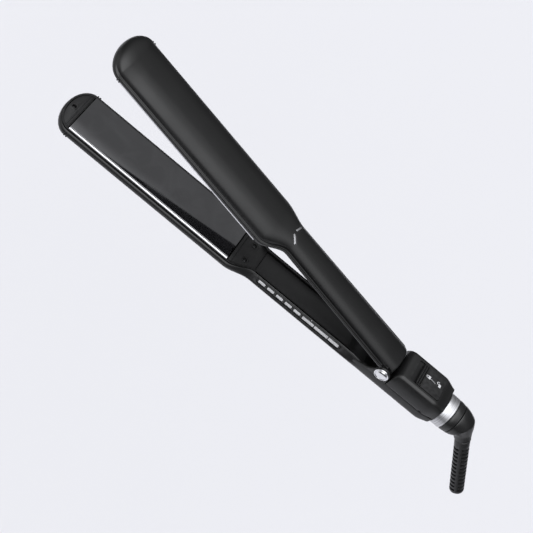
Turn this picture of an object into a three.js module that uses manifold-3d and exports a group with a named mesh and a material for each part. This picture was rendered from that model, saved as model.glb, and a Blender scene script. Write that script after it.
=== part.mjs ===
// A hinged hair straightening iron, modelled open. Millimetres, +Z up, +X towards the cord end,
// -Y the side with the controls. The origin lies on the plane that the lower arm's flat underside
// rests on, straight below the hinge axis.
import * as THREE from 'three';
import { mergeVertices } from 'three/addons/utils/BufferGeometryUtils.js';
import Module from 'manifold-3d';

const wasm = await Module();
wasm.setup();

// Driving dimensions
const PLATE_LENGTH = 127;
const PLATE_HALF_WIDTH = 16.4;
const PLATE_THICKNESS = 2.2;
const PLATE_FRONT = -250;
const PLATE_BACK = PLATE_FRONT + PLATE_LENGTH;
const PLATE_PLANE = 12.5;
const CLOSED_GAP = 0.3;
const NOSE_LENGTH = 12;
const WALL = 1.8;
const HOLLOW_FRONT = PLATE_FRONT - NOSE_LENGTH + WALL;
const GAP = 0.3;
const OPEN_ANGLE = THREE.MathUtils.degToRad(15.2);
const HINGE_Z = PLATE_PLANE + 6;
const HANDLE_FLARE = 0.14;
const PIN_RADIUS = 2.5;
const PIN_CLEARANCE = 0.3;
const SHOULDER_START = -122;
const SHOULDER_END = -103;
const TAIL_START = -24;
const TAIL_END = -12;
const BODY_END = 45.9;
const HOLLOW_END = 43.8;
const HOUSING_FRONT = 7;
const HOUSING_TOP = PLATE_PLANE + 14.5;
const SWIVEL_Z = PLATE_PLANE + 1.2;
const COLLAR_HOLE_RADIUS = 9.2;
const REAR_START = 36.5;
const REAR_NARROWING = 0.16;
const ELBOW_X = 67;
const ELBOW_BEND = THREE.MathUtils.degToRad(53.2);
const ELBOW_ROLL = THREE.MathUtils.degToRad(17);
const FACET_TILT = THREE.MathUtils.degToRad(27.4);
const FACET_Y = -12.85;
const FACET_Z = PLATE_PLANE - 3.3;

const black = (name, colour, roughness) =>
  new THREE.MeshStandardMaterial({ name, color: colour, roughness, metalness: 0 });
const metal = (name, colour, roughness) =>
  new THREE.MeshStandardMaterial({ name, color: colour, roughness, metalness: 1 });
const MATERIALS = {
  housing: () => black('housing', 0x242426, 0.55),
  inner: () => black('inner', 0x1b1b1d, 0.6),
  trim: () => black('trim', 0x2f2f31, 0.4),
  lens: () => black('lens', 0xd9dadd, 0.3),
  board: () => black('board', 0x1e5a34, 0.6),
  ceramic: () => black('ceramic', 0xe4ddcf, 0.7),
  boot: () => black('boot', 0x202022, 0.65),
  plate: () => metal('plate', 0x46464a, 0.18),
  chrome: () => metal('chrome', 0xdcdee2, 0.12),
  ring: () => metal('ring', 0xc9cacd, 0.3),
  steel: () => metal('steel', 0x9a9b9e, 0.35),
};

// Solids: closed geometries become manifold solids for joining and cutting, and come back as meshes.
function solid(geometry) {
  const bare = geometry.clone();
  bare.deleteAttribute('normal');
  bare.deleteAttribute('uv');
  const welded = mergeVertices(bare, 1e-4);
  return new wasm.Manifold(new wasm.Mesh({
    numProp: 3,
    vertProperties: new Float32Array(welded.attributes.position.array),
    triVerts: new Uint32Array(welded.index.array),
  }));
}

function geometryOf(body) {
  const data = body.getMesh();
  const geometry = new THREE.BufferGeometry();
  geometry.setAttribute('position', new THREE.BufferAttribute(new Float32Array(data.vertProperties), 3));
  geometry.setIndex(new THREE.BufferAttribute(new Uint32Array(data.triVerts), 1));
  geometry.computeVertexNormals();
  return geometry;
}

const joined = (...bodies) => bodies.reduce((whole, next) => whole.add(next));
const cut = (body, ...tools) => tools.reduce((left, tool) => left.subtract(tool), body);

function block(x0, x1, y0, y1, z0, z1) {
  const geometry = new THREE.BoxGeometry(x1 - x0, y1 - y0, z1 - z0);
  return solid(geometry.translate((x0 + x1) / 2, (y0 + y1) / 2, (z0 + z1) / 2));
}

// A plan outline, points [x, y], raised from z0 to z1.
function prism(points, z0, z1) {
  const shape = new THREE.Shape(points.map(([x, y]) => new THREE.Vector2(x, y)));
  const geometry = new THREE.ExtrudeGeometry(shape, { depth: z1 - z0, bevelEnabled: false });
  return solid(geometry.translate(0, 0, z0));
}

// A side outline, points [x, z], carried across from y0 to y1.
function slab(points, y0, y1) {
  const shape = new THREE.Shape(points.map(([x, z]) => new THREE.Vector2(x, z)));
  const geometry = new THREE.ExtrudeGeometry(shape, { depth: y1 - y0, bevelEnabled: false });
  return solid(geometry.rotateX(Math.PI / 2).translate(0, y1, 0));
}

// A turned body about the X axis: profile points [radius, x].
function turnedX(profile, z, segments = 32) {
  const points = profile.map(([r, x]) => new THREE.Vector2(r, x));
  const geometry = new THREE.LatheGeometry(points, segments);
  return solid(geometry.rotateZ(-Math.PI / 2).translate(0, 0, z));
}

// A turned body about a line parallel to Y: profile points [radius, y].
function turnedY(profile, x, z, segments = 24) {
  const points = profile.map(([r, y]) => new THREE.Vector2(r, y));
  return solid(new THREE.LatheGeometry(points, segments).translate(x, 0, z));
}

// A turned body about a vertical line: profile points [radius, z].
function turnedZ(profile, x, y, segments = 20) {
  const points = profile.map(([r, z]) => new THREE.Vector2(r, z));
  return solid(new THREE.LatheGeometry(points, segments).rotateX(Math.PI / 2).translate(x, y, 0));
}

const rod = (radius, a, b) => [[0, a], [radius, a], [radius, b], [0, b]];

// A skin over cross-sections { x, points } whose points [y, z] match one to one, closed at both ends.
function loft(sections) {
  const count = sections[0].points.length;
  const positions = sections.flatMap(({ x, points }) => points.flatMap(([y, z]) => [x, y, z]));
  const index = [];
  for (let s = 0; s + 1 < sections.length; s += 1) {
    for (let i = 0; i < count; i += 1) {
      const a = s * count + i;
      const b = s * count + ((i + 1) % count);
      index.push(a, b, b + count, a, b + count, a + count);
    }
  }
  const cap = ({ points }, base, reverse) => {
    const contour = points.map(([y, z]) => new THREE.Vector2(y, z));
    for (const [a, b, c] of THREE.ShapeUtils.triangulateShape(contour, [])) {
      index.push(...(reverse ? [base + c, base + b, base + a] : [base + a, base + b, base + c]));
    }
  };
  cap(sections[0], 0, true);
  cap(sections[sections.length - 1], (sections.length - 1) * count, false);
  const geometry = new THREE.BufferGeometry();
  geometry.setAttribute('position', new THREE.Float32BufferAttribute(positions, 3));
  geometry.setIndex(index);
  return solid(geometry);
}

// Half profiles run from the rim to the middle, as [half width, height over the plate plane].
const LOWER_PLATE = [
  [17.2, -1.9], [18, -2], [18.9, -3], [19.3, -4.4], [19.1, -5.6], [18.2, -7.2],
  [16.7, -8.9], [14.5, -10.5], [11.8, -11.7], [8, -12.5], [0, -12.5],
];
const LOWER_HANDLE = [
  [10.9, -0.8], [11.6, -0.9], [12.8, -3.2], [14, -5.5], [13.9, -6.5], [13.1, -7.8],
  [11.7, -9.3], [10.1, -10.7], [8.6, -11.7], [6.8, -12.5], [0, -12.5],
];
const LOWER_TAIL = [
  [12.9, 0.2], [13.9, 0.2], [14.1, -2], [14.1, -4.4], [13.9, -5.8], [13.2, -7.4],
  [11.9, -9.1], [10.3, -10.6], [8.6, -11.7], [6.8, -12.5], [0, -12.5],
];
const UPPER_PLATE = [
  [17.4, 1.8], [18.5, 1.9], [19.2, 2.8], [19.2, 4.6], [18.3, 5.9], [17.4, 7],
  [16.2, 8.3], [14, 10.2], [10.5, 11.8], [5.5, 12.9], [0, 13.2],
];
const UPPER_HANDLE = [
  [10.8, 7.7], [11.8, 7.8], [12.3, 8.5], [12.3, 9.4], [11.2, 10.4], [10.2, 11],
  [9.6, 12.2], [8, 13.2], [6, 14.1], [3, 14.7], [0, 14.9],
];
const HOUSING = [
  [12.7, 0.6], [14.2, 0.6], [14.3, 3], [14, 6], [13.3, 9], [12.2, 11.6],
  [10.9, 13.4], [9.8, 14.2], [8.7, 14.5], [4, 14.5], [0, 14.5],
];

const smooth = (x, a, b) => THREE.MathUtils.smoothstep(x, a, b);
const between = (one, two, t) => one.map(([y, z], i) => [
  THREE.MathUtils.lerp(y, two[i][0], t),
  THREE.MathUtils.lerp(z, two[i][1], t),
]);
const noseWidth = (x) => Math.sqrt(Math.max(0, 1 - (Math.max(0, PLATE_FRONT - x) / NOSE_LENGTH) ** 2));

// The full closed section from a half profile, counter-clockwise seen from +X.
function section(x, half) {
  const left = half.map(([y, z]) => [-y, z + PLATE_PLANE]);
  const right = half.slice(0, -1).reverse().map(([y, z]) => [y, z + PLATE_PLANE]);
  const points = [...left, ...right];
  const turn = THREE.ShapeUtils.area(points.map(([y, z]) => new THREE.Vector2(y, z)));
  return { x, points: turn > 0 ? points : points.reverse() };
}

// The half profile moved inwards by the wall, its rim carried rimShift past the open side.
function inset(half, wall, rimShift) {
  const down = Math.sign(half[half.length - 1][1] - half[0][1]);
  return half.map(([y, z], i) => {
    if (i < 2) return [Math.max(half[0][0] - 0.1 * i, 0), z + rimShift * (1 - i)];
    const [y0, z0] = half[i - 1];
    const [y1, z1] = half[i + 1] ?? [-half[i - 1][0], half[i - 1][1]];
    const length = Math.hypot(y1 - y0, z1 - z0) || 1;
    return [
      Math.max(0, y - (wall * Math.abs(z1 - z0)) / length),
      z - (down * wall * Math.abs(y1 - y0)) / length,
    ];
  });
}

function lowerHalf(x) {
  const front = between(LOWER_PLATE, LOWER_HANDLE, smooth(x, SHOULDER_START, SHOULDER_END));
  const half = between(front, LOWER_TAIL, smooth(x, TAIL_START, TAIL_END));
  const nose = noseWidth(x);
  const rear = smooth(x, REAR_START, BODY_END + 2);
  return half.map(([y, z]) => [
    y * nose * (1 - REAR_NARROWING * rear),
    -1.9 + (z + 1.9) * (0.4 + 0.6 * nose) * (1 - 0.26 * rear),
  ]);
}

function upperHalf(x) {
  const half = between(UPPER_PLATE, UPPER_HANDLE, smooth(x, SHOULDER_START, SHOULDER_END));
  const nose = noseWidth(x);
  const along = THREE.MathUtils.clamp((x - PLATE_FRONT) / PLATE_LENGTH, 0, 1);
  const flare = HANDLE_FLARE * THREE.MathUtils.clamp(1 - x / SHOULDER_END, 0, 1);
  const crown = THREE.MathUtils.lerp(0.84, 1.12, along);
  const middle = between([[0, 4]], [[0, 10]], smooth(x, SHOULDER_START, SHOULDER_END))[0][1];
  return half.map(([y, z]) => [
    y * (1 + flare) * nose,
    z > middle ? middle + (z - middle) * crown * (0.35 + 0.65 * nose) : z,
  ]);
}

const NOSE_STEPS = [0.99, 0.93, 0.8, 0.6, 0.35, 0.15].map((k) => PLATE_FRONT - NOSE_LENGTH * k);
const SHOULDER_STEPS = [0, 0.2, 0.4, 0.6, 0.8, 1].map((k) =>
  THREE.MathUtils.lerp(SHOULDER_START, SHOULDER_END, k));
const LOWER_STATIONS = [...NOSE_STEPS, PLATE_FRONT, ...SHOULDER_STEPS,
  TAIL_START, -18, TAIL_END, REAR_START, 39, 41, 43.5, BODY_END];
const UPPER_STATIONS = [...NOSE_STEPS, PLATE_FRONT, ...SHOULDER_STEPS, -40, 1.5, 3];

function hollow(stations, halfAt, first, last, rimShift) {
  const outside = loft(stations.map((x) => section(x, halfAt(x))));
  const inner = [first, ...stations.filter((x) => x > first + 1 && x < last - 1), last];
  const inside = loft(inner.map((x) => section(x, inset(halfAt(x), WALL, rimShift))));
  return cut(outside, inside);
}

// Both arms' open frames at the shoulder: half widths of the inner pieces along x.
function innerOutline(x0, x1, half) {
  const steps = [0, 0.25, 0.5, 0.75, 1].map((k) => THREE.MathUtils.lerp(x0, x1, k));
  const near = steps.map((x) => [x, -half(x)]);
  return [...near, ...near.map(([x, y]) => [x, -y]).reverse()];
}

function plateBar(z0, z1) {
  const edge = z1 > z0 ? 1 : -1;
  const points = [
    [-PLATE_HALF_WIDTH, z0], [PLATE_HALF_WIDTH, z0], [PLATE_HALF_WIDTH, z1 - edge * 0.7],
    [PLATE_HALF_WIDTH - 0.7, z1], [0.7 - PLATE_HALF_WIDTH, z1], [-PLATE_HALF_WIDTH, z1 - edge * 0.7],
  ];
  const ring = edge > 0 ? points : points.reverse();
  return loft([PLATE_FRONT + GAP, PLATE_BACK].map((x) => ({ x, points: ring })));
}

function noseCap(z0, z1) {
  const steps = Array.from({ length: 13 }, (_, i) => Math.PI / 2 + (Math.PI * i) / 12);
  const outline = steps.map((a) => [
    PLATE_FRONT - 0.6 + (NOSE_LENGTH - WALL - 1) * Math.cos(a),
    (PLATE_HALF_WIDTH - 0.6) * Math.sin(a),
  ]);
  const screwHole = turnedZ(rod(1.5, z0 - 1, z1 + 1), PLATE_FRONT - 6.5, 0);
  return cut(prism(outline, z0, z1), screwHole);
}

// A small pan-head screw, its head at zHead and its shank running away along direction.
function screw(x, y, zHead, direction) {
  const profile = [[0, 0], [1.2, 0], [1.2, 1], [0.6, 1], [0.6, 3.1], [0, 3.1]];
  const points = profile.map(([r, z]) => [r, zHead + direction * z]);
  return turnedZ(direction > 0 ? points : points.reverse(), x, y, 16);
}

const group = new THREE.Group();
const upperArm = new THREE.Group();
upperArm.position.set(0, 0, HINGE_Z);
upperArm.rotation.y = OPEN_ANGLE;
const upperParts = new THREE.Group();
upperParts.position.set(0, 0, -HINGE_Z);
upperArm.add(upperParts);
const swivel = new THREE.Group();
swivel.position.set(0, 0, SWIVEL_Z);
swivel.rotation.x = -ELBOW_ROLL;
const facet = new THREE.Group();
facet.position.set(0, FACET_Y, FACET_Z);
facet.rotation.x = -FACET_TILT;
group.add(upperArm, swivel, facet);

function add(parent, name, material, body) {
  const mesh = new THREE.Mesh(geometryOf(body), MATERIALS[material]());
  mesh.name = name;
  parent.add(mesh);
}

// Control strip, in the facet's own frame: +X along the arm, -Y out of the face, +Z up the face.
const SLOT_X0 = -99.4;
const SLOT_X1 = -29.8;
const SLOT_HEIGHT = 3.6;
const TRIM_HEIGHT = 3;
const TRIM_OUT = 0.5;
const TRIM_THICKNESS = 1.3;
const KEY_HEIGHT = 1.7;
const WINDOW_GAP = 0.3;
const LENS_LENGTH = 5.4;
const LENS_PITCH = 7.3;
const LENSES = Array.from({ length: 5 }, (_, i) => -95.2 + LENS_PITCH * i);
const BUTTONS = [
  { name: 'power_button', x0: -61.4, x1: -52.2 },
  { name: 'heat_down_button', x0: -51.5, x1: -40.3 },
  { name: 'heat_up_button', x0: -39.6, x1: -31.4 },
];

function stadium(x0, x1, height, y0, y1) {
  const r = height / 2;
  const arc = (cx, start) => Array.from({ length: 9 }, (_, i) => {
    const a = start + (Math.PI * i) / 8;
    return [cx + r * Math.cos(a), r * Math.sin(a)];
  });
  return slab([...arc(x1 - r, -Math.PI / 2), ...arc(x0 + r, Math.PI / 2)], y0, y1);
}

const strip = stadium(SLOT_X0 + GAP, SLOT_X1 - GAP, TRIM_HEIGHT, TRIM_OUT, TRIM_OUT + TRIM_THICKNESS);
const halfWindow = KEY_HEIGHT / 2 + WINDOW_GAP;
const windows = [
  ...LENSES.map((x) => [x - LENS_LENGTH / 2, x + LENS_LENGTH / 2]),
  ...BUTTONS.map(({ x0, x1 }) => [x0, x1]),
].map(([x0, x1]) => block(x0 - WINDOW_GAP, x1 + WINDOW_GAP, -1, 4, -halfWindow, halfWindow));
add(facet, 'control_trim', 'trim', cut(strip, ...windows));
LENSES.forEach((x, i) => {
  const half = LENS_LENGTH / 2;
  const lens = block(x - half, x + half, 0.3, 2.1, -KEY_HEIGHT / 2, KEY_HEIGHT / 2);
  add(facet, `indicator_lens_${i + 1}`, 'lens', lens);
});
BUTTONS.forEach(({ name, x0, x1 }) => {
  const cap = block(x0, x1, 0.1, 2.1, -KEY_HEIGHT / 2, KEY_HEIGHT / 2);
  const flange = block(x0 + 0.4, x1 - 0.4, 2, 2.7, -1.6, 0.7);
  const stem = block((x0 + x1) / 2 - 1, (x0 + x1) / 2 + 1, 2.6, 4.1, -0.7, 0.7);
  add(facet, name, 'lens', joined(cap, flange, stem));
});
const boardHoles = [SLOT_X0 + 3, SLOT_X1 - 3].map((x) => turnedY(rod(0.9, 4, 9), x, 0, 12));
add(facet, 'control_board', 'board', cut(block(SLOT_X0, SLOT_X1, 5, 6.2, -2.8, 1.6), ...boardHoles));

// Lower arm
const slotCutter = stadium(SLOT_X0, SLOT_X1, SLOT_HEIGHT, -4, 4.5);
const placeOnFacet = (body) => body
  .rotate([-THREE.MathUtils.radToDeg(FACET_TILT), 0, 0])
  .translate([0, FACET_Y, FACET_Z]);
const EAR_INNER = 12.2;
const EAR_OUTER = 14;
const EAR_RADIUS = 5.6;
const earOutline = [
  [-9, PLATE_PLANE - 1], [EAR_RADIUS + 1, PLATE_PLANE - 1],
  ...Array.from({ length: 11 }, (_, i) => {
    const a = (Math.PI * i) / 10;
    return [EAR_RADIUS * Math.cos(a), HINGE_Z + EAR_RADIUS * Math.sin(a)];
  }),
];
const ears = [slab(earOutline, EAR_INNER, EAR_OUTER), slab(earOutline, -EAR_OUTER, -EAR_INNER)];
const pinHole = turnedY(rod(PIN_RADIUS + PIN_CLEARANCE, -20, 20), 0, HINGE_Z);
const collarHole = turnedX(rod(COLLAR_HOLE_RADIUS, HOLLOW_END - 1.8, BODY_END + 4), SWIVEL_Z);
const lowerTray = hollow(LOWER_STATIONS, lowerHalf, HOLLOW_FRONT, HOLLOW_END, 3);
const lowerBody = cut(joined(lowerTray, ...ears), placeOnFacet(slotCutter), pinHole, collarHole);
add(group, 'lower_shell', 'housing', lowerBody);

add(group, 'lower_nose_cap', 'inner', noseCap(PLATE_PLANE - 4, PLATE_PLANE - 1.7));
add(group, 'lower_nose_screw', 'steel', screw(PLATE_FRONT - 6.5, 0, PLATE_PLANE - 2.2, -1));
add(group, 'lower_plate', 'plate', plateBar(PLATE_PLANE - PLATE_THICKNESS, PLATE_PLANE));
const HEATER_FRONT = PLATE_FRONT + 12;
const HEATER_BACK = PLATE_BACK - 12;
const CARRIER_TOP = PLATE_PLANE - PLATE_THICKNESS - GAP;
const lowerPocket = block(HEATER_FRONT - GAP, HEATER_BACK + GAP, -6.3, 6.3, CARRIER_TOP - 2.2, CARRIER_TOP + 1);
add(group, 'lower_heater', 'ceramic',
  block(HEATER_FRONT, HEATER_BACK, -6, 6, CARRIER_TOP - 1.9, CARRIER_TOP));
add(group, 'lower_plate_carrier', 'inner', cut(
  block(PLATE_FRONT + 2, PLATE_BACK - 1, -14.6, 14.6, CARRIER_TOP - 3.6, CARRIER_TOP), lowerPocket));

const RETAINER_FRONT = PLATE_BACK + 1;
const RETAINER_BACK = -104;
const UPPER_RETAINER_BACK = RETAINER_BACK + 7;
const lowerInnerHalf = (x) => lowerHalf(x)[0][0] - 0.7;
const tailScrews = [['near', -6.75], ['far', 6.75]];
const TAIL_SCREW_X = -112.8;
const lowerScrewHoles = tailScrews.map(([, y]) =>
  turnedZ(rod(1.5, 0, PLATE_PLANE + 2), TAIL_SCREW_X, y));
add(group, 'lower_plate_retainer', 'inner', cut(
  prism(innerOutline(RETAINER_FRONT, RETAINER_BACK, lowerInnerHalf), PLATE_PLANE - 4.6, PLATE_PLANE - 2.2),
  ...lowerScrewHoles));
for (const [side, y] of tailScrews) {
  add(group, `lower_tail_screw_${side}`, 'steel', screw(TAIL_SCREW_X, y, PLATE_PLANE - 2.8, -1));
}
const COVER_FRONT = RETAINER_BACK + GAP;
add(group, 'lower_inner_cover', 'inner', slab([
  [COVER_FRONT, PLATE_PLANE - 2.4], [COVER_FRONT, PLATE_PLANE - 3.5], [-27.2, PLATE_PLANE - 3.5],
  [-21, PLATE_PLANE - 8], [-11, PLATE_PLANE - 8], [-11, PLATE_PLANE - 6.8], [-20.4, PLATE_PLANE - 6.8],
  [-26.4, PLATE_PLANE - 2.4],
], -9.3, 9.3));

// Hinge
add(group, 'hinge_pin', 'steel', turnedY(rod(PIN_RADIUS, -13.8, 13.8), 0, HINGE_Z));
for (const [side, sign] of [['near', -1], ['far', 1]]) {
  const dome = [[0, 14.3], [5.1, 14.3], [5.1, 14.9], [4.5, 15.5], [2.9, 15.9], [0, 16.05]];
  const profile = dome.map(([r, y]) => [r, sign * y]);
  add(group, `pin_cap_${side}`, 'chrome', turnedY(sign > 0 ? profile : profile.reverse(), 0, HINGE_Z, 32));
}
const COIL_TURNS = 4;
const COIL_RADIUS = 3.6;
const COIL_HALF = 4;
const WIRE_RADIUS = 0.6;
class TorsionCoil extends THREE.Curve {
  getPoint(t) {
    const a = -Math.PI / 2 - t * COIL_TURNS * 2 * Math.PI;
    return new THREE.Vector3(COIL_RADIUS * Math.cos(a), COIL_HALF * (2 * t - 1), COIL_RADIUS * Math.sin(a));
  }
}
const wire = new THREE.Shape(Array.from({ length: 6 }, (_, i) => new THREE.Vector2(
  WIRE_RADIUS * Math.cos((Math.PI * i) / 3), WIRE_RADIUS * Math.sin((Math.PI * i) / 3))));
const coil = new THREE.ExtrudeGeometry(wire, {
  steps: COIL_TURNS * 12, bevelEnabled: false, extrudePath: new TorsionCoil(),
});
add(group, 'opening_spring', 'steel', solid(coil.translate(0, 0, HINGE_Z)));

// Rear housing with the sliding lock
const housingHalf = (x) => HOUSING.map(([y, z]) => {
  const front = Math.min(1, (x - HOUSING_FRONT) / 5);
  const dome = Math.sqrt(Math.max(0, 1 - (1 - front) ** 2));
  const rear = smooth(x, REAR_START, BODY_END + 1);
  return [
    y * (1 - REAR_NARROWING * rear),
    z > 7 ? 7 + (z - 7) * (0.3 + 0.7 * dome) * (1 - 0.3 * rear) : z,
  ];
});
const HOUSING_STATIONS = [HOUSING_FRONT, 7.4, 8.3, 9.7, 12, REAR_START, 39, 41, 43.5, BODY_END];
const TRACK_FRONT = 15.5;
const TRACK_BACK = 38.6;
const SLIDER_FRONT = 19.4;
const SLIDER_BACK = 38.2;
const SLIDER_HALF = 8.5;
const track = block(TRACK_FRONT, TRACK_BACK, -SLIDER_HALF - GAP, SLIDER_HALF + GAP,
  HOUSING_TOP - 1.4, HOUSING_TOP + 3);
const SLIDER_TRAVEL = 3.5;
const STEM_FRONT = 24;
const STEM_BACK = 32;
const stemSlot = block(STEM_FRONT - SLIDER_TRAVEL - GAP, STEM_BACK + GAP, -3.3, 3.3,
  HOUSING_TOP - 4, HOUSING_TOP + 3);
const housingOuter = loft(HOUSING_STATIONS.map((x) => section(x, housingHalf(x))));
const housingInner = loft([9.6, 12.5, REAR_START, HOLLOW_END].map((x) =>
  section(x, housingHalf(x).map(([y, z], i) => [
    Math.max(0, y - (i < 2 ? 2.2 : 2.2 * Math.min(1, y / 6))),
    i < 2 ? z - 2 + i * 2 : Math.max(z - 2.6 * Math.min(1, z / 8), 1.2),
  ]))));
add(group, 'rear_housing', 'housing', cut(housingOuter, housingInner, track, stemSlot, collarHole));

const ribs = [SLIDER_FRONT, SLIDER_FRONT + 1.6].map((x) =>
  block(x, x + 0.8, -SLIDER_HALF, SLIDER_HALF, HOUSING_TOP - 0.2, HOUSING_TOP + 1.2));
const panel = block(SLIDER_FRONT, SLIDER_BACK, -SLIDER_HALF, SLIDER_HALF, HOUSING_TOP - 1.1, HOUSING_TOP + 0.3);
const stem = block(STEM_FRONT, STEM_BACK, -3, 3, HOUSING_TOP - 5.4, HOUSING_TOP - 0.9);
const keeper = block(STEM_FRONT - 2, STEM_BACK, -5.2, 5.2, HOUSING_TOP - 5.6, HOUSING_TOP - 4.4);
add(group, 'latch_slider', 'housing', joined(panel, stem, keeper, ...ribs));

// Swivel: a fixed ring, and a collar, elbow and strain relief that turn together
const RING_FRONT = BODY_END + GAP;
const RING_BACK = 53.4;
const RING_RADIUS = 11.7;
const RING_BORE = 9;
add(group, 'swivel_ring', 'ring', turnedX([
  [RING_BORE, RING_FRONT], [RING_RADIUS, RING_FRONT], [RING_RADIUS, RING_BACK],
  [RING_BORE, RING_BACK], [RING_BORE, RING_FRONT],
], SWIVEL_Z, 40));
const SEAM_X = 59;
const BORE = 3;
add(swivel, 'swivel_collar', 'boot', turnedX([
  [BORE, 39], [9.5, 39], [9.5, 41.4], [8.6, 41.4], [8.6, RING_BACK + GAP], [11.3, RING_BACK + GAP],
  [11.5, 55.5], [11.1, SEAM_X], [BORE, SEAM_X], [BORE, 39],
], 0, 40));

// The bent boot: circles carried round the bend, each tilted a little further.
const bendDirection = (angle) => new THREE.Vector3(Math.cos(angle), 0, -Math.sin(angle));
function ringAt(centre, angle, radius, count) {
  const up = new THREE.Vector3(Math.sin(angle), 0, Math.cos(angle));
  return Array.from({ length: count }, (_, i) => {
    const a = (2 * Math.PI * i) / count;
    return centre.clone()
      .addScaledVector(up, radius * Math.cos(a))
      .add(new THREE.Vector3(0, radius * Math.sin(a), 0));
  });
}
function tube(rings) {
  const count = rings[0].length;
  const last = (rings.length - 1) * count;
  const positions = rings.flat().flatMap((p) => [p.x, p.y, p.z]);
  const index = [];
  for (let r = 0; r + 1 < rings.length; r += 1) {
    for (let i = 0; i < count; i += 1) {
      const a = r * count + i;
      const b = r * count + ((i + 1) % count);
      index.push(a, a + count, b + count, a, b + count, b);
    }
  }
  for (let i = 1; i + 1 < count; i += 1) {
    index.push(0, i, i + 1, last, last + i + 1, last + i);
  }
  const geometry = new THREE.BufferGeometry();
  geometry.setAttribute('position', new THREE.Float32BufferAttribute(positions, 3));
  geometry.setIndex(index);
  return solid(geometry);
}
const corner = new THREE.Vector3(ELBOW_X, 0, 0);
const along = (distance) => corner.clone().addScaledVector(bendDirection(ELBOW_BEND), distance);
const RELIEF_START = 10.5;
const RELIEF_END = 55;
const RELIEF_LENGTH = RELIEF_END - RELIEF_START;
const BOOT_SIDES = 28;
const bootRings = (scale, extra) => [
  ringAt(new THREE.Vector3(SEAM_X + GAP - extra, 0, 0), 0, 11.1 * scale, BOOT_SIDES),
  ringAt(new THREE.Vector3(62.4, 0, -0.5), ELBOW_BEND * 0.28, 10.7 * scale, BOOT_SIDES),
  ringAt(new THREE.Vector3(65.6, 0, -1.5), ELBOW_BEND * 0.6, 9.5 * scale, BOOT_SIDES),
  ringAt(along(4.6), ELBOW_BEND, 7.8 * scale, BOOT_SIDES),
  ringAt(along(RELIEF_START - GAP + extra), ELBOW_BEND, 5.7 * scale, BOOT_SIDES),
];
add(swivel, 'swivel_elbow', 'boot', cut(tube(bootRings(1, 0)), tube(bootRings(0.5, 1))));

// Strain relief: a sleeve with half-ring slots above and below, a solid spine on each flank and
// the cord's bore along its middle.
const SLOTS = 12;
const SLOT_PITCH = 3.15;
const RELIEF_CORE = 3.3;
const RELIEF_BORE = 2.4;
const SPINE_HALF = 1.1;
const SLOT_HALF = 0.6;
const SLOT_REACH = 7;
const FIRST_SLOT = RELIEF_START + 6.4;
const reliefBody = tube([
  [0, 5.3], [2, 5.3], [RELIEF_LENGTH - 1.2, 4.9], [RELIEF_LENGTH, 3.9],
].map(([d, r]) => ringAt(along(RELIEF_START + d), ELBOW_BEND, r, 20)));
const reliefBore = tube([-2, RELIEF_LENGTH + 2].map((d) =>
  ringAt(along(RELIEF_START + d), ELBOW_BEND, RELIEF_BORE, 12)));
const slotCore = turnedX(rod(RELIEF_CORE, -1, 1), 0, 24);
const slotCuts = Array.from({ length: SLOTS }, (_, i) => [-1, 1].map((side) => {
  const centre = along(FIRST_SLOT + SLOT_PITCH * i);
  const [low, high] = side > 0 ? [SPINE_HALF, SLOT_REACH] : [-SLOT_REACH, -SPINE_HALF];
  return block(-SLOT_HALF, SLOT_HALF, -SLOT_REACH, SLOT_REACH, low, high)
    .subtract(slotCore)
    .rotate([0, THREE.MathUtils.radToDeg(ELBOW_BEND), 0])
    .translate([centre.x, 0, centre.z]);
})).flat();
add(swivel, 'strain_relief', 'boot', cut(reliefBody, reliefBore, ...slotCuts));

// Upper arm, laid out closed and turned open by its group
const upperPlane = PLATE_PLANE + CLOSED_GAP;
const earRelief = [[-17, -9.9], [9.9, 17]].map(([y0, y1]) =>
  turnedY(rod(EAR_RADIUS + 0.6, y0, y1), 0, HINGE_Z));
const coilRelief = block(0, 4, -9.9, 9.9, PLATE_PLANE + 7, PLATE_PLANE + 11);
const DASH_WIDTH = 1.2;
const dashes = [
  { name: 'inlay_dash_cross', x: -108.1, y: 3.5, length: 6, angle: 72 },
  { name: 'inlay_dash_slant', x: -106.7, y: -4.4, length: 6.6, angle: -45 },
];
const dashBar = ({ x, y, length, angle }, grow, z0, z1) =>
  block(-length / 2 - grow, length / 2 + grow, -DASH_WIDTH / 2 - grow, DASH_WIDTH / 2 + grow, z0, z1)
    .rotate([0, 0, angle])
    .translate([x, y, PLATE_PLANE]);

// Height of the upper arm's closed top surface over the plate plane at x, y.
function crownHeight(x, y) {
  const half = upperHalf(x);
  const i = half.findIndex(([width]) => width < Math.abs(y));
  const [[y0, z0], [y1, z1]] = [half[i - 1], half[i]];
  return THREE.MathUtils.mapLinear(Math.abs(y), y0, y1, z0, z1);
}
function dashHeights({ x, y, length, angle }) {
  const reach = (length / 2) * Math.sin(THREE.MathUtils.degToRad(angle));
  const ends = [y - reach, y, y + reach].map((at) => crownHeight(x, at));
  return [Math.min(...ends), Math.max(...ends)];
}
const upperTray = hollow(UPPER_STATIONS, upperHalf, HOLLOW_FRONT, 1.4, -3);
const dashPockets = dashes.map((dash) => dashBar(dash, GAP, dashHeights(dash)[0] - 0.9, 20));
add(upperParts, 'upper_shell', 'housing', cut(upperTray, ...earRelief, coilRelief, ...dashPockets));
for (const dash of dashes) {
  const [low, high] = dashHeights(dash);
  add(upperParts, dash.name, 'ring', dashBar(dash, 0, low - 0.6, high + 0.05));
}
add(upperParts, 'upper_nose_cap', 'inner', noseCap(PLATE_PLANE + 2, PLATE_PLANE + 4.3));
add(upperParts, 'upper_nose_screw', 'steel', screw(PLATE_FRONT - 6.5, 0, PLATE_PLANE + 2.5, 1));
add(upperParts, 'upper_plate', 'plate', plateBar(upperPlane + PLATE_THICKNESS, upperPlane));
const UPPER_CARRIER = upperPlane + PLATE_THICKNESS + GAP;
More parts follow.
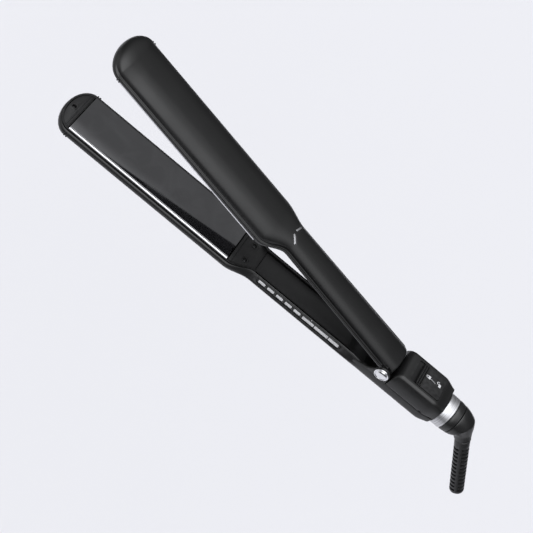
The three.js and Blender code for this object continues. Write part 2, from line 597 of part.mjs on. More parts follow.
const upperPocket = block(HEATER_FRONT - GAP, HEATER_BACK + GAP, -6.3, 6.3,
  UPPER_CARRIER - 1, UPPER_CARRIER + 2.2);
add(upperParts, 'upper_heater', 'ceramic',
  block(HEATER_FRONT, HEATER_BACK, -6, 6, UPPER_CARRIER, UPPER_CARRIER + 1.9));
add(upperParts, 'upper_plate_carrier', 'inner', cut(
  block(PLATE_FRONT + 2, PLATE_BACK - 1, -14.2, 14.2, UPPER_CARRIER, UPPER_CARRIER + 3.6), upperPocket));
const upperInnerHalf = (x) => upperHalf(x)[0][0] - 0.7;
const UPPER_SCREW_X = TAIL_SCREW_X - 3;
const upperScrewHoles = tailScrews.map(([, y]) =>
  turnedZ(rod(1.5, PLATE_PLANE, PLATE_PLANE + 9), UPPER_SCREW_X, y));
const retainerPlan = prism(innerOutline(RETAINER_FRONT, UPPER_RETAINER_BACK, upperInnerHalf), 0, 60);
const retainerSide = slab([
  [RETAINER_FRONT, PLATE_PLANE + 2.2], [-116, PLATE_PLANE + 2.5], [UPPER_RETAINER_BACK, PLATE_PLANE + 7.7],
  [UPPER_RETAINER_BACK, PLATE_PLANE + 8.7], [-117, PLATE_PLANE + 4.6], [RETAINER_FRONT, PLATE_PLANE + 4.4],
], -30, 30);
add(upperParts, 'upper_plate_retainer', 'inner',
  cut(retainerPlan.intersect(retainerSide), ...upperScrewHoles));
for (const [side, y] of tailScrews) {
  add(upperParts, `upper_tail_screw_${side}`, 'steel', screw(UPPER_SCREW_X, y, PLATE_PLANE + 3.2, 1));
}
add(upperParts, 'upper_inner_cover', 'inner',
  block(UPPER_RETAINER_BACK + GAP, -24, -9.5, 9.5, PLATE_PLANE + 7.9, PLATE_PLANE + 8.9));

// Hinge yoke: two lugs on the pin, joined by a web under the upper shell
const LUG_RADIUS = 5.3;
const lugOutline = [
  ...Array.from({ length: 11 }, (_, i) => {
    const a = -Math.PI / 2 - 0.5 + (Math.PI * i) / 10;
    return [LUG_RADIUS * Math.cos(a), HINGE_Z + LUG_RADIUS * Math.sin(a)];
  }),
  [0, PLATE_PLANE + 10.3], [-22, PLATE_PLANE + 10.3], [-22, PLATE_PLANE + 8.2],
];
const lugs = [slab(lugOutline, 6.8, 9), slab(lugOutline, -9, -6.8)];
const web = block(-22, -7, -9, 9, PLATE_PLANE + 9.1, PLATE_PLANE + 10.3);
add(upperParts, 'hinge_yoke', 'inner', cut(joined(...lugs, web), pinHole));

export default group;
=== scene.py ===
import math
import bmesh
import bpy
from mathutils import Matrix, Quaternion, Vector


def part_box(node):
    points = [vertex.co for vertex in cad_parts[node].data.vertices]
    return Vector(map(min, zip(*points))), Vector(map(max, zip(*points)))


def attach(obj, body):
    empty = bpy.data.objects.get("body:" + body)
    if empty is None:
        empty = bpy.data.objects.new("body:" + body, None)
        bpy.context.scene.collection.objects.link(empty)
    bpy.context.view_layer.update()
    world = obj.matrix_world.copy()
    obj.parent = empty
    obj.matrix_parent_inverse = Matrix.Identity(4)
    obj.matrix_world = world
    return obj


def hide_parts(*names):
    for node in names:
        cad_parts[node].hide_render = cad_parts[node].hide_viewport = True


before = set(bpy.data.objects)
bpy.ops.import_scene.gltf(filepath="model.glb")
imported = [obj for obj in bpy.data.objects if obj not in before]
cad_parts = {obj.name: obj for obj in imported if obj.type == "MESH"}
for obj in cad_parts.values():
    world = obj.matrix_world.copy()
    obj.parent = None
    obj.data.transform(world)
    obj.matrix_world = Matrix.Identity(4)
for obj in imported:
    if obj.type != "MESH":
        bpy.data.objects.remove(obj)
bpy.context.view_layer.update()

# Lower arm shell. A long tray moulded in heat-resistant nylon and sprayed with a black soft-touch
# lacquer. It carries the lower plate and the keys, and two ears on it hold the hinge pin.
MM = 0.001
GAP = 0.3
WALL = 1.8
RIM_DEPTH = 3.2
NOSE_LENGTH = 12.0
plate_low, plate_high = (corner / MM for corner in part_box("lower_plate"))
PLATE_PLANE = plate_high.z
NOSE_X = plate_low.x - GAP
PLATE_BACK = plate_high.x
SHOULDER = (NOSE_X + 128.0, NOSE_X + 147.0)
TAIL = (-24.0, -12.0)
REAR_START = 36.5
HINGE = Vector((0.0, 0.0, PLATE_PLANE + 6.0))
OPEN_ANGLE = math.radians(15.2)
SWIVEL_Z = PLATE_PLANE + 1.2
BODY_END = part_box("rear_housing")[1].x / MM
COLLAR_HOLE = 9.2

# Half profiles run from the rim to the middle: half width, height over the plate plane.
LOWER_PLATE = [
    (17.2, -2.3), (17.5, -1.95), (18.1, -2.0), (18.9, -2.9), (19.3, -4.4), (19.1, -5.7), (18.2, -7.2),
    (16.7, -8.9), (14.5, -10.5), (11.8, -11.7), (8.0, -12.4), (4.0, -12.5), (0.0, -12.5),
]
LOWER_HANDLE = [
    (10.8, -1.2), (11.1, -0.85), (11.6, -0.95), (12.8, -3.2), (14.0, -5.5), (13.9, -6.5), (13.1, -7.8),
    (11.7, -9.3), (10.1, -10.7), (8.6, -11.7), (6.8, -12.4), (3.0, -12.5), (0.0, -12.5),
]
LOWER_TAIL = [
    (12.9, -0.2), (13.2, 0.15), (13.9, 0.0), (14.1, -2.0), (14.1, -4.2), (13.9, -5.8), (13.1, -7.5),
    (11.9, -9.1), (10.3, -10.6), (8.6, -11.7), (6.8, -12.4), (3.0, -12.5), (0.0, -12.5),
]


def ease(x, start, end):
    """0 before start, 1 after end, and a smooth S between them."""
    t = min(1.0, max(0.0, (x - start) / (end - start)))
    return t * t * (3 - 2 * t)


def mix(one, two, t):
    """A profile between two others, point for point."""
    return [tuple(a + (b - a) * t for a, b in zip(p, q)) for p, q in zip(one, two)]


def span(start, end, count):
    """Evenly spaced numbers from start to end, count steps apart."""
    return [start + (end - start) * i / count for i in range(count + 1)]


def through(points, steps=4):
    """A smooth line through the points, with steps pieces between each pair."""
    ends = [points[0]] + list(points) + [points[-1]]
    line = []
    for a, b, c, d in zip(ends, ends[1:], ends[2:], ends[3:]):
        for t in (i / steps for i in range(steps)):
            line.append(tuple(
                0.5 * (2 * q + (r - p) * t + (2 * p - 5 * q + 4 * r - s) * t * t
                       + (3 * q - p - 3 * r + s) * t ** 3)
                for p, q, r, s in zip(a, b, c, d)
            ))
    return line + [tuple(points[-1])]


def lining(line):
    """The wall's inner face for a smooth half profile, point for point, upright below the rim."""
    rim, side = line[0][0], math.copysign(1.0, line[-1][1] - line[0][1])
    inner, last = [], line[0][1]
    for i, (y, z) in enumerate(line):
        (y0, z0), (y1, z1) = line[max(i - 1, 0)], line[min(i + 1, len(line) - 1)]
        length = math.hypot(y1 - y0, z1 - z0) or 1.0
        inner_y = y - WALL * abs(z1 - z0) / length
        inner_z = z - side * WALL * abs(y1 - y0) / length
        if abs(z - line[0][1]) < RIM_DEPTH:
            inner_y = min(inner_y, rim)
        last = side * max(side * last, side * inner_z) if i else inner_z
        inner.append((max(0.0, inner_y) if i < len(line) - 1 else 0.0, last))
    return inner


def lower_half(x):
    """The lower arm's half profile at x, drawn in towards the rear end."""
    half = mix(mix(LOWER_PLATE, LOWER_HANDLE, ease(x, *SHOULDER)), LOWER_TAIL, ease(x, *TAIL))
    rear = ease(x, REAR_START, BODY_END + 2.0)
    return through([(y * (1 - 0.16 * rear), -1.9 + (z + 1.9) * (1 - 0.26 * rear)) for y, z in half])


def across(x, line):
    """Points at x from the near rim round to the far rim."""
    near = [Vector((x, -y, PLATE_PLANE + z)) for y, z in line]
    far = [Vector((x, y, PLATE_PLANE + z)) for y, z in reversed(line[:-1])]
    return near + far


def grid(bm, rows, closed=False):
    """Faces between rows of points that match one to one."""
    made = [[bm.verts.new(point * MM) for point in row] for row in rows]
    for one, two in zip(made, made[1:]):
        pairs = list(zip(one, one[1:])) + ([(one[-1], one[0])] if closed else [])
        others = list(zip(two, two[1:])) + ([(two[-1], two[0])] if closed else [])
        for (a, b), (c, d) in zip(pairs, others):
            bm.faces.new((a, b, d, c))
    return made


def keep_edges(bm, sharp):
    """Smooth faces with sharp edges left sharp."""
    for face in bm.faces:
        face.smooth = True
    for edge in bm.edges:
        edge.smooth = len(edge.link_faces) != 2 or edge.calc_face_angle(0.0) < math.radians(sharp)


def make(name, bm, sharp=32.0):
    """A new piece from its mesh, its seams welded and its faces turned outwards."""
    bmesh.ops.remove_doubles(bm, verts=bm.verts, dist=1e-6)
    bmesh.ops.dissolve_degenerate(bm, edges=bm.edges, dist=1e-7)
    bmesh.ops.recalc_face_normals(bm, faces=bm.faces)
    keep_edges(bm, sharp)
    mesh = bpy.data.meshes.new(name)
    bm.to_mesh(mesh)
    bm.free()
    piece = bpy.data.objects.new(name, mesh)
    bpy.context.scene.collection.objects.link(piece)
    return piece


def settle(piece, sharp=32.0):
    """The modifiers' result becomes the piece's own mesh."""
    graph = bpy.context.evaluated_depsgraph_get()
    mesh = bpy.data.meshes.new_from_object(piece.evaluated_get(graph))
    piece.modifiers.clear()
    piece.data = mesh
    bm = bmesh.new()
    bm.from_mesh(mesh)
    keep_edges(bm, sharp)
    bm.to_mesh(mesh)
    bm.free()
    return piece


def carve(piece, tool, operation="DIFFERENCE"):
    """Cuts the tool out of the piece, or joins it on with UNION; the tool is used up."""
    step = piece.modifiers.new("carve", "BOOLEAN")
    step.operation = operation
    step.solver = "MANIFOLD"
    step.object = tool
    settle(piece)
    bpy.data.objects.remove(tool)
    return piece


def bevel(piece, width, angle, segments=2):
    """Rounds the edges that turn more than the angle."""
    step = piece.modifiers.new("edges", "BEVEL")
    step.width = width * MM
    step.segments = segments
    step.limit_method = "ANGLE"
    step.angle_limit = math.radians(angle)
    return settle(piece, 30.0)


def tube(bm, rows):
    """A closed tube through the rows, with a flat face at each end."""
    ends = grid(bm, rows, closed=True)
    bm.faces.new(ends[0])
    bm.faces.new(ends[-1])


def solid(name, rows, sharp=32.0):
    bm = bmesh.new()
    tube(bm, rows)
    return make(name, bm, sharp)


def prism(name, outline, low, high, place=lambda a, b, h: (a, b, h)):
    """A flat outline raised from low to high; place turns (a, b, height) into x, y, z."""
    return solid(name, [[Vector(place(a, b, h)) for a, b in outline] for h in (low, high)])


def arc(cx, cy, radius, start, end, steps=12):
    turns = [math.radians(a) for a in span(start, end, steps)]
    return [(cx + radius * math.cos(t), cy + radius * math.sin(t)) for t in turns]


def side_view(a, b, h):
    """Places a prism's outline in x and z, and its height along y."""
    return (a, h, b)


def rounded(x0, x1, z0, z1, radius, steps=6):
    """A rectangle's outline with round corners."""
    left, right, low, high = x0 + radius, x1 - radius, z0 + radius, z1 - radius
    corners = ((right, low, -90), (right, high, 0), (left, high, 90), (left, low, 180))
    return [spot for x, z, start in corners for spot in arc(x, z, radius, start, start + 90, steps)]


def turned(name, profile, axis, centre, steps):
    """A body turned about an axis: profile points are (radius, place along the axis)."""
    ways = {
        "X": lambda r, a, c, s: (a, r * c, r * s),
        "Y": lambda r, a, c, s: (r * s, a, r * c),
        "Z": lambda r, a, c, s: (r * c, r * s, a),
    }
    bm = bmesh.new()
    rows = [
        [Vector(ways[axis](r, a, math.cos(t), math.sin(t))) + Vector(centre) for r, a in profile]
        for t in span(0, 2 * math.pi, steps)
    ]
    grid(bm, rows)
    return make(name, bm)


def rod(radius, start, end):
    """The profile of a plain round bar, for turned."""
    return [(0, start), (radius, start), (radius, end), (0, end)]


def shell(name, stations, half_at, nose_line, rear):
    """A hollow arm: rings along the stations, a round nose in front, and rows that close the rear."""
    bm = bmesh.new()
    rows = [across(x, half_at(x)) + across(x, lining(half_at(x)))[::-1] for x in stations]
    last = grid(bm, rows + rear, closed=True)[-1]
    for i in range(len(last) // 2 - 1):
        bm.faces.new((last[i], last[i + 1], last[-2 - i], last[-1 - i]))
    line = half_at(NOSE_X)
    inner = lining(line)
    widest = max(y for y, _ in line)
    fan = []
    for angle in span(-math.pi / 2, math.pi / 2, 36):
        forward, aside = math.cos(angle), math.sin(angle)
        share = max(0.0, forward) ** 0.6
        outside = [
            Vector((NOSE_X - NOSE_LENGTH * ny / widest * forward, y * aside,
                    PLATE_PLANE + z + (nz - z) * share))
            for (y, z), (ny, nz) in zip(line, nose_line)
        ]
        inside = [
            Vector((NOSE_X - (NOSE_LENGTH - WALL) * y / inner[0][0] * forward, y * aside, PLATE_PLANE + z))
            for y, z in inner
        ]
        fan.append(inside[::-1] + outside)
    grid(bm, fan)
    return make(name, bm)


TILT = math.radians(27.4)
STRIP = Matrix.Translation(Vector((0, -12.65, PLATE_PLANE - 2.95)) * MM) @ Matrix.Rotation(-TILT, 4, "X")
trim_low, trim_high = (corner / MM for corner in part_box("control_trim"))
SLOT = (trim_low.x - GAP, trim_high.x + GAP)
LOWER_STATIONS = (
    span(NOSE_X, SHOULDER[0], 16) + span(*SHOULDER, 18)[1:] + span(SHOULDER[1], TAIL[0], 12)[1:]
    + span(*TAIL, 8)[1:] + span(TAIL[1], REAR_START, 6)[1:] + span(REAR_START, BODY_END - 0.8, 8)[1:]
)


def towards_axis(row, x, inwards):
    """A row carried to x and drawn in towards the swivel's axis by a distance."""
    axis = Vector((x, 0.0, SWIVEL_Z))
    moved = []
    for point in row:
        out = Vector((0.0, point.y, point.z - SWIVEL_Z))
        moved.append(axis + out.normalized() * max(COLLAR_HOLE, out.length - inwards))
    return moved


def rear_rows(half_at):
    """Rows that round the rear edge over and close the end down to the collar's hole."""
    line = half_at(BODY_END)
    outer, inner = across(BODY_END, line), across(BODY_END, lining(line))[::-1]
    inside_x, rounding, whole_way = BODY_END - 2.1, 0.8, 30.0
    rows = []
    for turn in (30, 60, 90):
        a = math.radians(turn)
        x = BODY_END - rounding + rounding * math.sin(a)
        rows.append(towards_axis(outer, x, rounding * (1 - math.cos(a))) + towards_axis(inner, inside_x, 0))
    return rows + [towards_axis(outer, BODY_END, whole_way) + towards_axis(inner, inside_x, whole_way)]


lower_shell = shell(
    "lower_shell_skin", LOWER_STATIONS, lower_half, lower_half(NOSE_X), rear_rows(lower_half))
for near_face, far_face, ear_radius in ((-13.9, -12.3, 5.6), (10.9, 12.6, 4.4)):
    outline = [(7.6, PLATE_PLANE - 3), (6.4, PLATE_PLANE + 1)]
    outline += arc(HINGE.x, HINGE.z, ear_radius, 0, 168, 20)
    outline += through([
        (x, PLATE_PLANE + z) for x, z in ((-6.0, 5.4), (-8.6, 2.6), (-13.0, 0.6), (-19.0, -0.6))])
    outline += [(-19.0, PLATE_PLANE - 3)]
    carve(lower_shell, bevel(prism("ear", outline, near_face, far_face, side_view), 0.45, 50), "UNION")
slot_tool = prism("slot", rounded(*SLOT, -1.8, 1.8, 1.79, 10), -4.0, 4.5, side_view)
slot_tool.data.transform(STRIP)
carve(lower_shell, slot_tool)
carve(lower_shell, turned("bore", rod(2.8, -20, 20), "Y", HINGE, 32))
bevel(lower_shell, 0.15, 50)


def group(name, inputs, outputs):
    """An empty shader group of number sockets; the inputs carry their usual values."""
    made = bpy.data.node_groups.new(name, "ShaderNodeTree")
    for label, value in inputs:
        socket = made.interface.new_socket(label, in_out="INPUT", socket_type="NodeSocketFloat")
        socket.default_value = value
    for label in outputs:
        made.interface.new_socket(label, in_out="OUTPUT", socket_type="NodeSocketFloat")
    return made, made.nodes.new("NodeGroupInput").outputs, made.nodes.new("NodeGroupOutput").inputs


def node(tree, kind, links=None, **settings):
    """A node with its settings, and its inputs linked or set from a dictionary."""
    made = tree.nodes.new(kind)
    for key, value in settings.items():
        setattr(made, key, value)
    for socket, value in (links or {}).items():
        if isinstance(value, bpy.types.NodeSocket):
            tree.links.new(value, made.inputs[socket])
        else:
            made.inputs[socket].default_value = value
    return made


def maths(tree, operation, one, two):
    return node(tree, "ShaderNodeMath", {0: one, 1: two}, operation=operation).outputs[0]


def remap(tree, value, low=0.0, high=1.0, start=0.3, end=0.7, **settings):
    """A value that runs from start to end, turned into one that runs from low to high."""
    return node(tree, "ShaderNodeMapRange", {
        "Value": value, "From Min": start, "From Max": end, "To Min": low, "To Max": high},
        **settings).outputs[0]


def object_place(tree):
    return node(tree, "ShaderNodeTexCoord").outputs["Object"]


def noise(tree, place, scale, detail, distortion=0.0):
    return node(tree, "ShaderNodeTexNoise", {
        "Vector": place, "Scale": scale, "Detail": detail, "Distortion": distortion}).outputs["Fac"]


def scale_for(tree, size):
    """The texture scale for a feature size in millimetres."""
    return maths(tree, "DIVIDE", 1 / MM, size)


def grain_group():
    """Fine moulded or sprayed grain: a height, and slow patches for uneven gloss and tone."""
    tree, given, out = group(
        "surface grain", [("Grain size", 0.4), ("Patch size", 30.0)], ["Height", "Patches"])
    place = object_place(tree)
    fine, slow = (scale_for(tree, given[label]) for label in ("Grain size", "Patch size"))
    cells = node(tree, "ShaderNodeTexVoronoi", {"Vector": place, "Scale": fine}).outputs["Distance"]
    tree.links.new(maths(tree, "ADD", cells, noise(tree, place, fine, 3.0)), out["Height"])
    tree.links.new(noise(tree, place, slow, 4.0), out["Patches"])
    return tree


def wear_group():
    """A mask for rubbed edges: where the surface turns sharply outwards, broken up by noise."""
    tree, given, out = group(
        "edge wear", [("Start", 0.54), ("Full", 0.66), ("Patch size", 3.0)], ["Mask"])
    turn = node(tree, "ShaderNodeNewGeometry").outputs["Pointiness"]
    edge = remap(tree, turn, start=given["Start"], end=given["Full"])
    patch = noise(tree, object_place(tree), scale_for(tree, given["Patch size"]), 5.0)
    broken = remap(tree, patch, start=0.35, end=0.6)
    tree.links.new(maths(tree, "MULTIPLY", edge, broken), out["Mask"])
    return tree


def smudge_group():
    """Faint finger marks and dust on a glossy face: a mask from 0 to 1."""
    tree, given, out = group("smudge", [("Mark size", 14.0), ("Dust size", 0.7)], ["Mask"])
    place = object_place(tree)
    marks = noise(tree, place, scale_for(tree, given["Mark size"]), 6.0, 0.8)
    dust = noise(tree, place, scale_for(tree, given["Dust size"]), 2.0)
    broad = remap(tree, marks, start=0.45, end=0.7)
    fine = remap(tree, dust, high=0.5, start=0.62, end=0.75)
    tree.links.new(maths(tree, "MAXIMUM", broad, fine), out["Mask"])
    return tree


GRAIN = grain_group()
WEAR = wear_group()
SMUDGE = smudge_group()


def tree_of(name, **values):
    """A new material, its node tree, and its Principled shader with its constant sockets set."""
    material = bpy.data.materials.new(name)
    material.use_nodes = True
    shader = material.node_tree.nodes["Principled BSDF"]
    for socket, value in values.items():
        shader.inputs[socket.replace("_", " ")].default_value = value
    return material, material.node_tree, shader


def place_group(tree, which, **values):
    """The outputs of a group placed in a material with its own values."""
    links = {socket.replace("_", " "): value for socket, value in values.items()}
    return node(tree, "ShaderNodeGroup", links, node_tree=which).outputs


def blend_tones(tree, factor, one, two):
    """A colour between two others; each is a colour or another node's colour output."""
    return node(tree, "ShaderNodeMix", {0: factor, 6: one, 7: two}, data_type="RGBA").outputs[2]


def grey(value):
    """A faintly cool grey."""
    return (value, value, value * 1.03, 1.0)


def dress(tree, shader, colour, roughness, height=None, strength=0.0, depth=0.0):
    """The shader takes its colour, its roughness and, where there is one, its relief in mm."""
    tree.links.new(colour, shader.inputs["Base Color"])
    tree.links.new(roughness, shader.inputs["Roughness"])
    if height is not None:
        relief = {"Height": height, "Strength": strength, "Distance": depth * MM}
        tree.links.new(node(tree, "ShaderNodeBump", relief).outputs[0], shader.inputs["Normal"])


def moulded(name, shade, worn, gloss, grain, depth):
    """Moulded plastic: uneven tone and gloss, fine grain, and edges rubbed a little lighter."""
    material, tree, shader = tree_of(name)
    surface = place_group(tree, GRAIN, Grain_size=grain, Patch_size=22.0)
    rubbed = place_group(tree, WEAR, Start=0.53, Full=0.70, Patch_size=2.5)
    tone = blend_tones(tree, surface["Patches"], grey(shade * 0.85), grey(shade * 1.15))
    colour = blend_tones(tree, rubbed["Mask"], tone, grey(worn))
    dress(tree, shader, colour, remap(tree, surface["Patches"], *gloss), surface["Height"], 0.3, depth)
    return material


def finish_with(piece, material, slot, body, *replaced):
    """The piece takes, unless it has its own, its material; it rides its body and
    stands for the replaced nodes. The slot is not used."""
    if material:
        piece.data.materials.clear()
        piece.data.materials.append(material)
    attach(piece, body)
    if replaced:
        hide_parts(*replaced)
    return piece


def coat(material, *nodes):
    """Solids that stay as they are get the finish on every material slot."""
    for name in nodes:
        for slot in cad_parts[name].material_slots:
            slot.material = material


LACQUER = moulded("soft_touch_lacquer", 0.006, 0.03, (0.34, 0.44), 0.35, 0.02)
finish_with(lower_shell, LACQUER, "housing", "lower_arm", "lower_shell")

# Upper arm shell. The same lacquered nylon: a pillowed crown over a flared side band, with a
# groove between them. It is laid out closed on the lower arm, then turned open about the pin.
UPPER_PLATE = [
    (17.4, 2.1), (17.8, 1.8), (18.5, 1.9), (19.2, 2.8), (19.25, 4.3), (18.8, 5.0), (17.7, 5.4),
    (17.4, 6.5), (16.3, 8.4), (14.0, 10.2), (10.5, 11.8), (5.5, 12.9), (0.0, 13.2),
]
UPPER_HANDLE = [
    (10.8, 8.0), (11.1, 7.7), (11.8, 7.8), (12.3, 8.5), (12.3, 9.5), (11.8, 9.9), (10.9, 9.2),
    (10.1, 9.5), (9.8, 11.5), (8.3, 13.0), (6.0, 14.1), (3.0, 14.7), (0.0, 14.9),
]
UPPER_NOSE = [
    (17.4, 2.1), (17.8, 1.8), (18.5, 1.9), (19.2, 2.8), (19.25, 4.2), (19.15, 5.4), (18.8, 6.8),
    (18.1, 8.3), (16.6, 9.8), (14.0, 11.2), (10.3, 12.3), (5.4, 13.0), (0.0, 13.2),
]
OPEN = (
    Matrix.Translation(HINGE * MM) @ Matrix.Rotation(OPEN_ANGLE, 4, "Y") @ Matrix.Translation(-HINGE * MM)
)
UPPER_END = 3.0


def swell(x, half):
    """The crown grows from the nose to the back of the plate, and the handle widens to its end."""
    along = min(1.0, max(0.0, (x - NOSE_X) / (PLATE_BACK - NOSE_X)))
    flare = 1 + 0.14 * min(1.0, max(0.0, 1 - x / SHOULDER[1]))
    corner = 1 - 0.07 * (1 - math.sqrt(max(0.0, 1 - max(0.0, (x - UPPER_END + 1.6) / 1.6) ** 2)))
    middle, crown = 4.0 + 6.0 * ease(x, *SHOULDER), 0.84 + 0.28 * along
    return [(y * flare * corner, middle + (z - middle) * crown if z > middle else z) for y, z in half]


def upper_half(x):
    return through(swell(x, mix(UPPER_PLATE, UPPER_HANDLE, ease(x, *SHOULDER))))


def open_up(piece):
    """Turns a piece of the upper arm about the pin from closed to open."""
    piece.data.transform(OPEN)
    return piece


UPPER_STATIONS = (
    span(NOSE_X, SHOULDER[0], 16) + span(*SHOULDER, 20)[1:] + span(SHOULDER[1], UPPER_END - 1.8, 16)[1:]
    + [UPPER_END - 1.2, UPPER_END - 0.8, UPPER_END - 0.4]
)


def end_rows(x, line):
    """The plain end of the upper arm, its outer edge rounded over."""
    outer, inner = across(x, line), across(x, lining(line))[::-1]
    middle, rounding = Vector((x, 0.0, PLATE_PLANE + 9.0)), 0.5
    rows = []
    for turn in (30, 60, 90):
        a = math.radians(turn)
        drawn = [
            point + (middle - point).normalized() * rounding * (1 - math.cos(a))
            + Vector((rounding * (math.sin(a) - 1), 0, 0)) for point in outer
        ]
        rows.append(drawn + [Vector((x - 0.1, p.y, p.z)) for p in inner])
    return rows


upper_shell = shell(
    "upper_shell_skin", UPPER_STATIONS, upper_half, through(swell(NOSE_X, UPPER_NOSE)),
    end_rows(UPPER_END, upper_half(UPPER_END - 0.3)),
)
for y0, y1 in ((-17, -9.9), (9.9, 12.9)):
    carve(upper_shell, turned("relief", rod(6.2, y0, y1), "Y", HINGE, 48))
carve(upper_shell, prism("relief", rounded(0, 4, -9.9, 9.9, 0.5), PLATE_PLANE + 7, PLATE_PLANE + 11))

DASHES = [("inlay_dash_cross", -108.1, 3.5, 6.0, 72.0), ("inlay_dash_slant", -106.7, -4.4, 6.6, -45.0)]
DASH_WIDTH = 1.2


def crown_height(x, y):
    """Height of the closed upper arm's top face at x, y."""
    line = upper_half(x)
    for (y0, z0), (y1, z1) in zip(line, line[1:]):
        if y1 <= abs(y) <= y0 and y0 > y1 and z1 > 5.0:
            return PLATE_PLANE + z0 + (z1 - z0) * (y0 - abs(y)) / (y0 - y1)
    return PLATE_PLANE + line[-1][1]


def dash_plan(x, y, length, angle, grow):
    """A dash seen from above, grown by a distance all round."""
    turn = Matrix.Rotation(math.radians(angle), 2)
    half, side = length / 2 + grow, DASH_WIDTH / 2 + grow
    return [turn @ Vector((a, b)) + Vector((x, y)) for a, b in rounded(-half, half, -side, side, 0.35, 3)]


for name, x, y, length, angle in DASHES:
    low = min(crown_height(a, b) for a, b in dash_plan(x, y, length, angle, 0.0))
    carve(upper_shell, prism("pocket", dash_plan(x, y, length, angle, 0.15), low - 0.9, 40.0))
bevel(upper_shell, 0.12, 50)
finish_with(open_up(upper_shell), LACQUER, "housing", "upper_arm", "upper_shell")

# Nose caps. A flat half-round plastic lid closes each arm's tip, with two ribs along its straight
# edge and one small screw; a ribbed clip grips the side band at each corner of the nose.
INNER_PLASTIC = moulded("textured_inner_plastic", 0.014, 0.045, (0.42, 0.55), 0.28, 0.03)
CAP_SCREW_X = NOSE_X - 6.5


def brushed_group():
    """Fine lines left by turning or brushing, across the chosen direction."""
    tree, given, out = group("brushed lines", [("Along", 0.05), ("Across", 9.0)], ["Lines", "Patches"])
    place = object_place(tree)
    parts = node(tree, "ShaderNodeSeparateXYZ", {0: place}).outputs
    stretch = {axis: maths(tree, "MULTIPLY", parts[axis], given[label])
               for axis, label in (("X", "Across"), ("Y", "Along"), ("Z", "Along"))}
    along = node(tree, "ShaderNodeCombineXYZ", stretch).outputs[0]
    tree.links.new(noise(tree, along, 1 / MM, 3.0), out["Lines"])
    tree.links.new(noise(tree, place, 160.0, 2.0), out["Patches"])
    return tree


BRUSHED = brushed_group()


def metal(name, shade, dark, gloss, along=0.3, across_lines=6.0, depth=0.004):
    """Bare or plated metal with turning lines and slightly uneven gloss."""
    material, tree, shader = tree_of(name, Metallic=1.0)
    lines = place_group(tree, BRUSHED, Along=along, Across=across_lines)
    colour = blend_tones(tree, remap(tree, lines["Lines"]), grey(dark), grey(shade))
    dress(tree, shader, colour, remap(tree, lines["Patches"], *gloss), lines["Lines"], 0.4, depth)
    return material


STEEL = metal("machined_steel", 0.42, 0.28, (0.25, 0.4))
BLACK_STEEL = metal("blackened_steel", 0.11, 0.05, (0.3, 0.45))


def nose_cap(name, z_in, z_out):
    """The lid lies between two heights; its rib and its screw's recess are on the z_out side."""
    out = math.copysign(1.0, z_out - z_in)
    low, high = sorted((z_in, z_out))
    reach, half = NOSE_LENGTH - WALL - 1.1, plate_high.y - 0.6
    half_round = [(NOSE_X - 0.6 + reach * math.cos(a), half * math.sin(a))
                  for a in span(math.pi / 2, 3 * math.pi / 2, 28)]
    cap = prism(name, half_round, low, high)
    carve(cap, turned("hole", rod(1.5, low - 1, high + 1), "Z", (CAP_SCREW_X, 0, 0), 32))
    collar = turned("collar", [(1.5, z_out - out), (2.4, z_out - out), (2.4, z_out + 0.1 * out),
                               (2.1, z_out + 0.35 * out), (1.5, z_out + 0.35 * out), (1.5, z_out - out)],
                    "Z", (CAP_SCREW_X, 0, 0), 32)
    carve(cap, collar, "UNION")
    for place, size in ((1.5, 0.5), (3.0, 0.38)):
        half = 15.3 - place * 0.2
        rib_line = arc(NOSE_X - place, z_out, size, 0, 360, 16)[:-1]
        carve(cap, prism("rib", rib_line, -half, half, side_view), "UNION")
    return bevel(cap, 0.14, 40)


HEAD_RADIUS, HEAD_HEIGHT, SHANK_RADIUS, SHANK_END = 1.2, 1.0, 0.6, 3.1


def screw(name, x, y, z_head, out):
    """A pan-head screw with a cross recess; out is +1 when its head looks up."""
    profile = [(0, 0), (HEAD_RADIUS * 0.55, 0), (HEAD_RADIUS * 0.9, 0.18), (HEAD_RADIUS, 0.45),
               (HEAD_RADIUS, HEAD_HEIGHT), (SHANK_RADIUS, HEAD_HEIGHT), (SHANK_RADIUS, SHANK_END),
               (0, SHANK_END)]
    made = turned(name, [(r, z_head - depth * out) for r, depth in profile], "Z", (x, y, 0), 32)
    low, high = sorted((z_head - 0.5 * out, z_head + out))
    for half_x, half_y in ((0.75, 0.17), (0.17, 0.75)):
        x0, x1, y0, y1 = x - half_x, x + half_x, y - half_y, y + half_y
        carve(made, prism("cross", [(x0, y0), (x1, y0), (x1, y1), (x0, y1)], low, high))
    return made


finish_with(nose_cap("lower_nose_lid", PLATE_PLANE - 4, PLATE_PLANE - 1.7),
            INNER_PLASTIC, "inner", "lower_arm", "lower_nose_cap")
finish_with(open_up(nose_cap("upper_nose_lid", PLATE_PLANE + 4.3, PLATE_PLANE + 2.0)),
            INNER_PLASTIC, "inner", "upper_arm", "upper_nose_cap")
finish_with(screw("lower_nose_pan_screw", CAP_SCREW_X, 0, PLATE_PLANE - 2.3, 1),
            BLACK_STEEL, "steel", "lower_arm", "lower_nose_screw")
finish_with(open_up(screw("upper_nose_pan_screw", CAP_SCREW_X, 0, PLATE_PLANE + 2.6, -1)),
            BLACK_STEEL, "steel", "upper_arm", "upper_nose_screw")


BAND_INNER = 17.6
RIB_SECTION = ((-0.62, -0.2), (-0.55, 0.4), (-0.3, 0.9), (0.3, 0.9), (0.55, 0.4), (0.62, -0.2))


